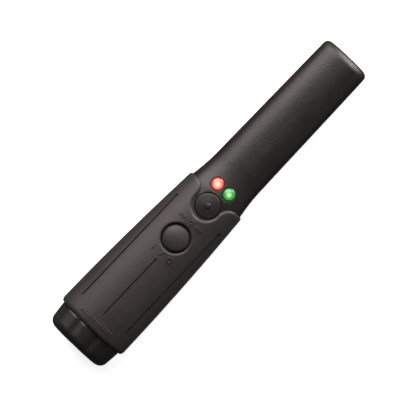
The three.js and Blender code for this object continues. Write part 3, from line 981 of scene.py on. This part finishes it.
def makeFloor(halfSize=3.0):
    bm = bmesh.new()
    bmesh.ops.create_grid(bm, x_segments=4, y_segments=4, size=halfSize)
    mesh = bpy.data.meshes.new("floor")
    bm.to_mesh(mesh)
    bm.free()
    mesh.materials.append(paleFloor("floorCard"))
    floor = bpy.data.objects.new("floor", mesh)
    bpy.context.scene.collection.objects.link(floor)


setLamps(*setCamera())
setRoom()
makeFloor()
bpy.context.scene.view_settings.view_transform = "Standard"
print("camera, light and floor set")


# The housing's two halves, and the holes in its front.
keys = {"power": middleOf("power_button").xy, "torch": middleOf("torch_button").xy}
holes = {"power": 8.8, "torch": 8.15, "lens": 4.3, "roll": 0.3, "partingGap": 0.15}


# A round cutter for a hole in the front.
def post(x, y, radius, steps=72):
    low, high = frontCut
    outline = [(0, low), (radius, low), (radius, high), (0, high)]
    return turned(outline, x, y, steps=steps)


# A ring of the paddle's rounded end, moved in at its sides and down at its front.
def noseRing(y, sideIn, frontIn):
    halfWidth, rear, front, power = housingSkin(y)
    section = (halfWidth - sideIn, rear + sideIn, front - frontIn, power)
    return lambda turn: skinPoint(section, y, 0, turn)


def housingOuter():
    butt, top, flareEnd = paddle["butt"] + holes["roll"], grip["top"], paddle["flareEnd"]
    corner, nose, crown, tip = paddle["corner"], paddle["nose"], paddle["crown"], paddle["tip"]
    straight = tip - crown - nose
    places = spread(butt, top, paddle["ringPitch"])
    places += spread(top, flareEnd, paddle["flarePitch"])[1:]
    places += spread(flareEnd, straight, paddle["ringPitch"])[1:]
    rings = [skinRing(housingSkin, y) for y in places]
    count = paddle["noseRings"]
    for i in range(1, count + 1):
        angle = math.radians(paddle["noseTurn"] * i / count)
        edge = straight + nose * math.sin(angle) ** paddle["bevel"]
        frontIn = paddle["noseDrop"] * (1 - math.cos(angle) ** paddle["bevel"])
        reach = max(0.0, 1 - (tip - crown - edge) / corner)
        sideIn = corner * (1 - math.sqrt(1 - reach**2))
        rings.append(noseRing(edge, sideIn, frontIn))
    inset = paddle["tipInset"]
    for step in range(1, paddle["tipRings"] + 1):
        share = step / paddle["tipRings"]
        y = between(edge, tip, 1 - (1 - share) ** 2)
        rings.append(noseRing(y, between(sideIn, inset, share), between(frontIn, inset, share)))
    return loft(rings, capStart=1)


# One half of the housing, with a wall and a rolled edge at the parting and round each hole.
def shellHalf(bm, front):
    roll = holes["roll"]
    gap = holes["partingGap"] + roll
    cutLevel(bm, paddle["parting"] + (gap if front else -gap), front)
    openMarked(bm)
    centres = [(keys[key], holes[key]) for key in keys]
    centres += [(centre.xy, holes["lens"]) for centre in lensCentres.values()]

    def edgeRule(place, outward):
        if place.y < paddle["butt"] + 2 * roll:
            return Vector((0, -1, 0)), roll, roll
        for centre, radius in centres:
            if front and (place.xy - centre).length < radius + 2 * roll:
                return (centre - place.xy).to_3d(), roll, roll
        return Vector((0, 0, -1 if front else 1)), roll, roll

    giveWall(bm, lambda place, outward: paddle["wall"], edgeRule, steps=3)
    return bm


def makeHousing():
    outer = housingOuter()
    rear = outer.copy()
    roll = holes["roll"]
    cutters = [post(*keys[key], holes[key] + roll) for key in keys]
    cutters += [post(*centre.xy, holes["lens"] + roll, 48) for centre in lensCentres.values()]
    front = carve(outer, cutters)
    slotName = "housing_plastic"
    plastic = finishes[slotName]
    makePiece("frontShell", shellHalf(front, True), plastic, "housing", ["front_shell"])
    makePiece("rearShell", shellHalf(rear, False), plastic, "housing", ["rear_shell"])


makeHousing()
print("housing made")


# The rubber grip, its opening and holes, and its grooves.
sleeve = {
    "lip": 1.9,  # how far the rolled edge of the opening reaches
    "lipDrop": 1.75,
    "holeLip": 1.3,
    "holeDrop": 1.0,
    "buttLip": 3.0,
    "buttDrop": 1.4,
    "notch": 9.15,
    "hornRadius": 8.1,
    "holeRadius": 9.25,
    "snug": 0.15,
    "grooveRadius": 0.78,
    "grooveDepth": 0.55,
    "middleGroove": (-94.8, -47.4),
    "sideGroove": (-94.6, -11.3),
    "sideX": 17.2,
    "sideRadius": 0.85,
    "sideDepth": 0.6,
    "pitRadius": 1.05,
    "pitBack": 2.2,
    "pitAhead": 0.3,
    "rollShare": 0.85,  # an edge rolls down by no more than this share of the wall
    "ringPitch": 1.6,
    "groovePitch": 3.0,
    "notchBeyond": 9.0,
}
hornY = grip["top"] - sleeve["hornRadius"]
notchY = keys["torch"].y
hornX = math.sqrt((sleeve["notch"] + sleeve["hornRadius"]) ** 2 - (hornY - notchY) ** 2)


# A closed bar through the front of the sleeve, its outline the opening between the horns.
def notchCutter(arcSteps=28):
    low, high = frontCut
    lip = sleeve["lip"]
    end = grip["top"] + sleeve["notchBeyond"]
    hornArc = sleeve["hornRadius"] - lip
    lean = math.atan2(hornY - notchY, hornX)
    bm = newMesh()

    def arc(x, y, radius, start, end):
        angles = [between(start, end, i / arcSteps) for i in range(arcSteps + 1)]
        return [(x + radius * math.cos(a), y + radius * math.sin(a)) for a in angles]

    nearTop = math.radians(86)  # the horns' arcs stop just short of the way up, clear of the top
    outline = [(-hornX + hornArc * math.cos(nearTop), end)]
    outline += arc(-hornX, hornY, hornArc, nearTop, -lean)
    outline += arc(0, notchY, sleeve["notch"] + lip, math.pi - lean, 2 * math.pi + lean)[1:]
    outline += arc(hornX, hornY, hornArc, math.pi + lean, math.pi - nearTop)[1:]
    outline += [(hornX - hornArc * math.cos(nearTop), end)]
    face = bm.faces.new([bm.verts.new((x, y, low)) for x, y in outline])
    raised = bmesh.ops.extrude_face_region(bm, geom=[face])["geom"]
    verts = [g for g in raised if isinstance(g, bmesh.types.BMVert)]
    bmesh.ops.translate(bm, verts=verts, vec=(0, 0, high - low))
    bmesh.ops.recalc_face_normals(bm, faces=bm.faces)
    return bm


# The rubber's thickness: each side's own, blended by how far a point faces the front or back.
def gripDepth(place, outward):
    up = share01(place.y, grip["butt"], grip["top"])
    side = between(grip["sideStepAtButt"], grip["sideStep"], up)
    faced = grip["frontStep"] if outward.z > 0 else grip["rearStep"]
    return faced * outward.z**2 + side * (1 - outward.z**2) - sleeve["snug"]


# Which way each open edge rolls: off the butt, into the power button's hole, off the top, or
# into the opening, round a horn's own centre beyond where the two arcs meet.
def gripEdge(place, outward):
    most = gripDepth(place, outward) * sleeve["rollShare"]
    holeCentre = keys["power"]
    notchCentre = Vector((0, notchY))
    front = place.z > frontCut[0]
    if place.y < grip["butt"] + sleeve["buttLip"] + 1:
        return Vector((0, -1, 0)), sleeve["buttLip"], min(sleeve["buttDrop"], most)
    if front and (place.xy - holeCentre).length < sleeve["holeRadius"] + 2 * sleeve["holeLip"]:
        return (holeCentre - place.xy).to_3d(), sleeve["holeLip"], sleeve["holeDrop"]
    drop = min(sleeve["lipDrop"], most)
    if not front or abs(place.x) > hornX - 0.3:
        return Vector((0, 1, 0)), sleeve["lip"], drop
    if hornX * (place.y - notchY) > abs(place.x) * (hornY - notchY):
        horn = Vector((math.copysign(hornX, place.x), hornY))
        return (place.xy - horn).to_3d(), sleeve["lip"], drop
    return (notchCentre - place.xy).to_3d(), sleeve["lip"], drop


# A round bar that follows the grip's front, sunk in it, with domed ends. The first dome is a hair
# wider than the bar, so that it doesn't lie flush with it.
def grooveCutter(x, start, end, radius, sunk, domeRings=5):
    rings = []
    hair = 0.01
    for i in range(1, domeRings + 1):
        angle = math.pi / 2 * (i / domeRings - 1)
        rings.append((start + radius * (1 + math.sin(angle)), radius * math.cos(angle) + hair))
    straight = spread(start + radius, end - radius, sleeve["groovePitch"])
    rings += [(y, radius) for y in straight[1:-1]]
    for i in range(domeRings):
        angle = math.pi / 2 * i / domeRings
        rings.append((end - radius * (1 - math.sin(angle)), radius * math.cos(angle)))

    def ringAt(y, size):
        z = frontHeight(gripSkin, x, y) - sunk
        return lambda turn: Vector((x + size * math.cos(turn), y, z + size * math.sin(turn)))

    return loft([ringAt(y, size) for y, size in rings], segments=16)


def makeGrip():
    top = grip["top"] - sleeve["lip"]
    butt = grip["butt"] + sleeve["buttLip"]
    rings = [skinRing(gripSkin, y) for y in spread(butt, top, sleeve["ringPitch"])]
    outer = loft(rings, segments=160, capStart=1, capEnd=1)
    powerHole = post(*keys["power"], sleeve["holeRadius"] + sleeve["holeLip"], 96)
    bm = carve(outer, [notchCutter(), powerHole])
    openMarked(bm)
    giveWall(bm, gripDepth, gripEdge, steps=7)
    cutters = [grooveCutter(0, *sleeve["middleGroove"], sleeve["grooveRadius"], sleeve["grooveDepth"])]
    start, end = sleeve["sideGroove"]
    pit = (end - sleeve["pitBack"], end + sleeve["pitAhead"])
    for side in (-1, 1):
        x, sunk = side * sleeve["sideX"], sleeve["sideDepth"]
        cutters.append(grooveCutter(x, start, end, sleeve["sideRadius"], sunk))
        cutters.append(grooveCutter(x, *pit, sleeve["pitRadius"], sunk))
    bm = carve(bm, cutters, mark=0)
    rubber = finishes["grip_rubber"]
    makePiece("gripSleeve", bm, rubber, "housing", ["grip_sleeve"], 32)


makeGrip()
print("grip made")


# Raised signs moulded on the grip: a lamp, a stroke and ring, and a row of ribs.
signs = {
    "rise": 0.5,
    "root": 0.5,
    "stroke": 0.9,
    "soft": 0.17,  # the rounding of each edge
    "lampY": -18.1,
    "lampRing": 1.15,
    "rays": 8,
    "rayReach": 2.55,
    "rayLength": 1.1,
    "rayWidth": 0.6,
    "besideX": (4.9, 6.5, 8.1),
    "besideLength": 2.3,
    "powerY": -43.4,
    "powerX": 6.4,
    "powerRing": 1.6,
    "powerLength": 4.0,
    "slashLength": 4.6,
    "slashLean": 62,
    "ribY": -100.2,
    "ribs": 13,
    "ribPitch": 1.9,
    "ribLength": 2.9,
}


def signBar(x, y, length, angle, width=None):
    width = width or signs["stroke"]
    low = (-length / 2, -width / 2, -signs["root"])
    high = (length / 2, width / 2, signs["rise"])
    bm = softBlock(low, high, signs["soft"], 3)
    bmesh.ops.rotate(bm, verts=bm.verts, matrix=Matrix.Rotation(math.radians(angle), 3, "Z"))
    bmesh.ops.translate(bm, verts=bm.verts, vec=(x, y, 0))
    return bm


def signRing(x, y, radius):
    inner, outer = radius - signs["stroke"] / 2, radius + signs["stroke"] / 2
    root, rise, soft = -signs["root"], signs["rise"], signs["soft"]
    corners = [(outer, root, 0), (outer, rise, soft), (inner, rise, soft)]
    outline = rounded([(inner, root, 0), *corners, (inner, root, 0)])
    return turned(outline, x, y, steps=40)


def layOnGrip(bm):
    for vert in bm.verts:
        vert.co.z += frontHeight(gripSkin, vert.co.x, vert.co.y)
    return bm


def makeSigns():
    rubber = finishes["grip_rubber"]
    lampY, powerY = signs["lampY"], signs["powerY"]
    lamp = signRing(0, lampY, signs["lampRing"])
    for i in range(signs["rays"]):
        turn = 360 / signs["rays"] * i
        out = Vector((math.cos(math.radians(turn)), math.sin(math.radians(turn)))) * signs["rayReach"]
        join(lamp, signBar(out.x, lampY + out.y, signs["rayLength"], turn, signs["rayWidth"]))
    for x in signs["besideX"]:
        for side in (-1, 1):
            join(lamp, signBar(side * x, lampY, signs["besideLength"], 90))
    power = signRing(signs["powerX"], powerY, signs["powerRing"])
    join(power, signBar(-signs["powerX"], powerY, signs["powerLength"], 90))
    join(power, signBar(0, powerY, signs["slashLength"], signs["slashLean"]))
    ribs = newMesh()
    for i in range(signs["ribs"]):
        x = (i - (signs["ribs"] - 1) / 2) * signs["ribPitch"]
        join(ribs, signBar(x, signs["ribY"], signs["ribLength"], 90))
    for name, bm in (("lampSign", lamp), ("powerSign", power), ("gripRibs", ribs)):
        makePiece(name, layOnGrip(bm), rubber, "housing")


makeSigns()
print("signs made")


# Buttons and lenses. Each profile is (radius, depth below the top, rounding), from the rim inwards.
powerKey = {
    "flange": 9.6,
    "stem": 8.1,
    "profile": [(8.1, 1.9, 0.3), (7.5, 1.9, 0.1), (7.3, 1.0, 0.3)],
    "dome": 7.3,
    "domeHeight": 1.0,
    "domePower": 2.2,
}
torchKey = {
    "stem": 7.85,
    "profile": [
        (7.85, 1.22, 0.6),
        (6.6, 1.05, 3.0),
        (3.4, 0.66, 4.0),
        (1.95, 0.60, 0.25),
        (1.45, 0.10, 0.3),
        (0.6, 0.0, 0.5),
        (0, 0.0, 0),
    ],
}
lampLens = {
    "back": (2.9, 3.5),  # the hollow's radius, and its depth from the top
    "flange": (4.6, 0.8),
    "profile": [(lensRadius, 1.5, 0.3), (3.3, 0.55, 1.2), (1.8, 0.08, 2.2), (0, 0.0, 0)],
}


def buttonBody(node, flange, stem, profile):
    low, high = boxOf(node)
    centre = (low + high) / 2
    base = low.z
    outline = [(0, base, 0), (flange, base + 0.2, 0.1), (flange, base + 1, 0.2), (stem, base + 1, 0)]
    outline += [(radius, high.z - depth, soft) for radius, depth, soft in profile]
    return turned(rounded(outline), centre.x, centre.y, steps=96)


def makePowerButton():
    dome, height = powerKey["dome"], powerKey["domeHeight"]
    shares = (0.9, 0.75, 0.6, 0.45, 0.3, 0.15, 0.0)
    top = [(dome * share, height * share ** powerKey["domePower"], 0) for share in shares]
    profile = powerKey["profile"] + top
    button = buttonBody("power_button", powerKey["flange"], powerKey["stem"], profile)
    rubber = finishes["button_rubber"]
    makePiece("powerButton", button, rubber, "power_key", ["power_button"], 50)


def makeTorchButton():
    low, high = boxOf("torch_button")
    flange = (high.x - low.x) / 2
    button = buttonBody("torch_button", flange, torchKey["stem"], torchKey["profile"])
    plastic = finishes["housing_plastic"]
    makePiece("torchButton", button, plastic, "torch_key", ["torch_button"], 50)


def makeLenses():
    for colour, (low, high) in lensBoxes.items():
        centre = lensCentres[colour]
        inner, back = lampLens["back"]
        flange, thick = lampLens["flange"]
        outline = [(0, high.z - back, 0), (inner, high.z - back, 0.3), (inner, low.z, 0)]
        outline += [(flange, low.z, 0), (flange, low.z + thick, 0), (lensRadius, low.z + thick, 0)]
        outline += [(radius, high.z - depth, soft) for radius, depth, soft in lampLens["profile"]]
        lens = turned(rounded(outline), centre.x, centre.y, steps=64)
        slotName = colour + "_lens"
        makePiece(colour + "LampLens", lens, finishes[slotName], "housing", [slotName], 50)


makePowerButton()
makeTorchButton()
makeLenses()
print("buttons and lenses made")


# The torch in the battery cap.
torch = {
    "z": 14.6,
    "lensRadius": 8.2,
    "bezelRadius": 7.4,
    "bezelDepth": 0.9,
    "bezelFlare": 0.7,
    "seatDepth": 7.0,
    "bowl": (2.7, 4.6, 1.2),  # the neck's radius, what the mouth adds to it, and both rims
    "neckEdge": 0.7,
    "bowlSteps": 12,
    "backs": [(8.1, 0.0), (8.1, 1.0), (6.6, 2.8), (4.8, 5.4)],
    "backNeck": 3.7,
    "bulbRadius": 1.9,
}


def quarterTurns(steps):
    return [math.pi / 2 * i / steps for i in range(1, steps + 1)]


# The share of the way round the cap, by length, for each turn. The flutes are spaced by it.
def capPerimeter(samples=720):
    section = capSkin(cap["top"] - 5)
    points = [skinPoint(section, 0, 0, 2 * math.pi * i / samples) for i in range(samples + 1)]
    lengths = [0.0]
    for a, b in zip(points, points[1:]):
        lengths.append(lengths[-1] + (b - a).length)
    return lambda turn: lengths[round(turn / (2 * math.pi) % 1 * samples)] / lengths[-1]


# The cap is one closed skin: round its outside, down its spigot and back up its inside.
def makeCap():
    along = capPerimeter()
    middle = along(math.pi / 2)

    def flutedRing(y, inset, share):
        section = capSkin(y)

        def place(turn):
            wave = math.cos(2 * math.pi * cap["flutes"] * (along(turn) - middle))
            depth = cap["fluteDepth"] * share * (0.5 - wave / 2) ** cap["fluteEdge"]
            return skinPoint(section, y, inset + depth, turn)

        return place

    butt, top, corner = cap["butt"], cap["top"], cap["corner"]
    spigot, wall, body = cap["spigot"], cap["wall"], spigotInset
    start, end = cap["sealGroove"]
    sunk = body + cap["sealDepth"]
    rings = [skinRing(capSkin, butt, cap["endInset"]), skinRing(capSkin, butt, cap["endRim"])]
    for i in range(cap["cornerRings"] + 1):
        share = i / cap["cornerRings"]
        angle = math.pi / 2 * (1 - share)
        y = butt + corner * (1 - math.sin(angle))
        rings.append(flutedRing(y, corner * (1 - math.cos(angle)), share))
    straight = spread(butt + corner, top - 0.3, cap["ringPitch"])[1:]
    rings += [flutedRing(y, 0, 1) for y in straight]
    rings += [flutedRing(top - 0.08, 0.08, 1), flutedRing(top, 0.3, 1), skinRing(capSkin, top, 1.2)]
    spigotRings = [
        (top + 0.02, body + 0.1),
        (start - 0.2, body),
        (start, sunk),
        (end, sunk),
        (end + 0.2, body),
        (spigot - 0.9, body),
        (spigot - 0.25, body + 0.25),
        (spigot, body + 0.6),
        (spigot, body + 1.4),
        (spigot - 0.3, body + 1.7),
        (top - 0.4, body + 1.7),
    ]
    rings += [skinRing(housingSkin, y, inset) for y, inset in spigotRings]
    rings += [
        skinRing(capSkin, top - 1.4, wall),
        skinRing(capSkin, butt + wall + 3, wall),
        skinRing(capSkin, butt + wall + 1, wall + 0.8),
        skinRing(capSkin, butt + wall, wall + 4),
        skinRing(capSkin, butt + wall, cap["endInset"]),
    ]
    shell = loft(rings, segments=192)
    bezel, depth, flare = torch["bezelRadius"], torch["bezelDepth"], torch["bezelFlare"]
    seat = torch["lensRadius"] + 0.3
    mouth = [(0, butt - 1), (bezel + flare, butt - 1), (bezel + flare, butt)]
    for turn in quarterTurns(6):
        mouth.append((bezel + flare * (1 - math.sin(turn)), butt + flare * (1 - math.cos(turn))))
    inside = butt + torch["seatDepth"]
    mouth += [(bezel, butt + depth), (seat, butt + depth), (seat, inside), (0, inside)]
    hole = turned(mouth, 0, 0, torch["z"], lying=True, steps=96)
    shell = carve(shell, [hole], mark=0)
    plastic = finishes["cap_plastic"]
    makePiece("batteryCap", shell, plastic, "cap", ["battery_cap"], 35)


def makeTorch():
    lensLow, lensHigh = boxOf("torch_lens")
    backLow, backHigh = boxOf("torch_reflector")
    bulbLow, bulbHigh = boxOf("torch_lamp")
    clear = finishes["clear_lens"]
    radius, z = torch["lensRadius"], torch["z"]
    disc = [(0, lensLow.y, 0), (radius, lensLow.y, 0.2), (radius, lensHigh.y, 0.2), (0, lensHigh.y, 0)]
    lens = turned(rounded(disc), 0, 0, z, lying=True, steps=72)
    makePiece("torchWindow", lens, clear, "cap", ["torch_lens"])
    neck, widening, rims = torch["bowl"]
    edge = backHigh.y - torch["neckEdge"]
    depth = backHigh.y - backLow.y - rims
    shares = [i / torch["bowlSteps"] for i in range(torch["bowlSteps"] + 1)]
    bowl = [(neck + widening * share**0.5, edge - depth * share) for share in shares]
    bowl += [(radius, backLow.y + rise) for radius, rise in torch["backs"]]
    bowl += [(torch["backNeck"], backHigh.y), (neck, backHigh.y), (neck, edge)]
    reflector = turned(bowl, 0, 0, z, lying=True, steps=72)
    makePiece("torchReflector", reflector, finishes["reflector"], "cap", ["torch_reflector"])
    size = torch["bulbRadius"]
    dome = [(0, bulbLow.y)]
    dome += [(size * math.sin(turn), bulbLow.y + size * (1 - math.cos(turn))) for turn in quarterTurns(8)]
    dome += [(size, bulbHigh.y), (0, bulbHigh.y)]
    bulb = turned(dome, 0, 0, z, lying=True, steps=40)
    makePiece("torchBulb", bulb, clear, "cap", ["torch_lamp"])


# The ring seal in the spigot's groove: a small round section carried round the skin.
def makeSeal(radius=0.5, squeeze=0.15, steps=12):
    y = middleOf("cap_seal").y
    rings = []
    for i in range(steps):
        angle = 2 * math.pi * i / steps
        inset = spigotInset - squeeze + radius * (1 - math.cos(angle))
        rings.append(skinRing(housingSkin, y + radius * math.sin(angle), inset))
    rings.append(rings[0])
    bm = loft(rings, segments=128, capStart=None, capEnd=None)
    bmesh.ops.remove_doubles(bm, verts=bm.verts, dist=weld)
    bmesh.ops.recalc_face_normals(bm, faces=bm.faces)
    makePiece("capSeal", bm, finishes["seal_rubber"], "cap", ["cap_seal"])


makeCap()
makeTorch()
makeSeal()
print("cap and torch made")


# Each stud's profile is (radius, height above the battery, rounding).
batteryShape = {
    "corner": 2.2,
    "lip": 0.7,
    "sunk": 0.45,
    "sunkSlope": 0.25,
    "edge": 0.22,
    "plus": [(0, 0, 0), (2.7, 0, 0), (2.7, 0.5, 0.2), (2.35, 0.9, 0.2)],
    "plusHead": [(2.6, 0.3, 0.25), (2.0, 0, 0.2), (0, 0, 0)],  # these are measured down from its top
    "minusFoot": [(0, 0), (3.1, 0), (3.1, 0.4), (2.75, 0.8)],
    "minusHead": (3.45, 3.1),
    "minusInside": [(2.4, 0.9), (0, 0.7)],
}


def makeBattery():
    low, high = batteryBox
    shape = batteryShape
    bm = newMesh()
    bmesh.ops.create_cube(bm, size=1.0)
    bmesh.ops.scale(bm, verts=bm.verts, vec=high - low)
    bmesh.ops.translate(bm, verts=bm.verts, vec=(high + low) / 2)
    longEdges = [e for e in bm.edges if abs(e.verts[0].co.y - e.verts[1].co.y) > 1]
    bevelEdges(bm, longEdges, shape["corner"], 8)
    ends = [f for f in bm.faces if abs(f.normal.y) > 0.9]
    bmesh.ops.inset_region(bm, faces=ends, thickness=shape["lip"], depth=0)
    inner = [f for f in bm.faces if abs(f.normal.y) > 0.9 and f.calc_area() > 100]
    bmesh.ops.inset_region(bm, faces=inner, thickness=shape["sunkSlope"], depth=-shape["sunk"])

    def atEnd(edge):
        return min(abs(edge.verts[0].co.y - y) for y in (low.y, high.y)) < 0.01

    rims = [e for e in bm.edges if e.is_manifold and e.calc_face_angle() > 1.2 and atEnd(e)]
    bevelEdges(bm, rims, shape["edge"], 3)
    makePiece("batteryBlock", bm, finishes["battery_can"], "battery", ["battery"], 30)
    steel = finishes["steel"]
    plus, minus = middleOf("battery_stud_plus"), middleOf("battery_stud_minus")
    base, top = boxOf("battery_stud_plus")[0].y, boxOf("battery_stud_plus")[1].y
    snap = [(radius, base + rise, soft) for radius, rise, soft in shape["plus"]]
    snap += [(radius, top - drop, soft) for radius, drop, soft in shape["plusHead"]]
    stud = turned(rounded(snap), plus.x, 0, plus.z, lying=True, steps=40)
    makePiece("plusStud", stud, steel, "battery", ["battery_stud_plus"])
    crown = [(radius, base + rise) for radius, rise in shape["minusFoot"]]
    crown += [(radius, top) for radius in shape["minusHead"]]
    crown += [(radius, base + rise) for radius, rise in shape["minusInside"]]
    socket = turned(crown, minus.x, 0, minus.z, lying=True, steps=6)
    makePiece("minusSocket", socket, steel, "battery", ["battery_stud_minus"], 30)


makeBattery()
print("battery made")


pads = {
    "batterySoft": 1.6,
    "edge": 0.35,
    "window": (8.7, 4.3),  # half the opening that the coil's former passes through
    "windowSoft": 1.8,
}


def makePads():
    low, high = boxOf("battery_pad")
    foamFinish = finishes["foam"]
    bm = softBlock(low, high, pads["batterySoft"], 4)
    pad = makePiece("batteryPad", bm, foamFinish, "cap", ["battery_pad"], 60)
    edge, inset = pads["edge"], spigotInset
    halfWide, halfHigh = pads["window"]
    middle = middleOf("coil_former").z
    for node, name in (("coil_pad_near", "nearCoilPad"), ("coil_pad_far", "farCoilPad")):
        low, high = boxOf(node)
        rings = [
            skinRing(housingSkin, low.y, inset + edge),
            skinRing(housingSkin, low.y + edge, inset),
            skinRing(housingSkin, high.y - edge, inset),
            skinRing(housingSkin, high.y, inset + edge),
        ]
        cutLow = (-halfWide, low.y - 2, middle - halfHigh)
        cutHigh = (halfWide, high.y + 2, middle + halfHigh)
        window = softBlock(cutLow, cutHigh, pads["windowSoft"], 4)
        bm = carve(loft(rings, segments=96), [window], mark=0)
        pad = makePiece(name, bm, foamFinish, "housing", [node], 60)


makePads()
print("pads made")


# The parts that need no new mesh take their finishes from the record.
for entry in frame["record"]["subparts"]:
    node = frame["nodes"][entry["node"]]
    node.data.materials.clear()
    node.data.materials.append(finishes[entry["material_slot"]])


print("all pieces made")
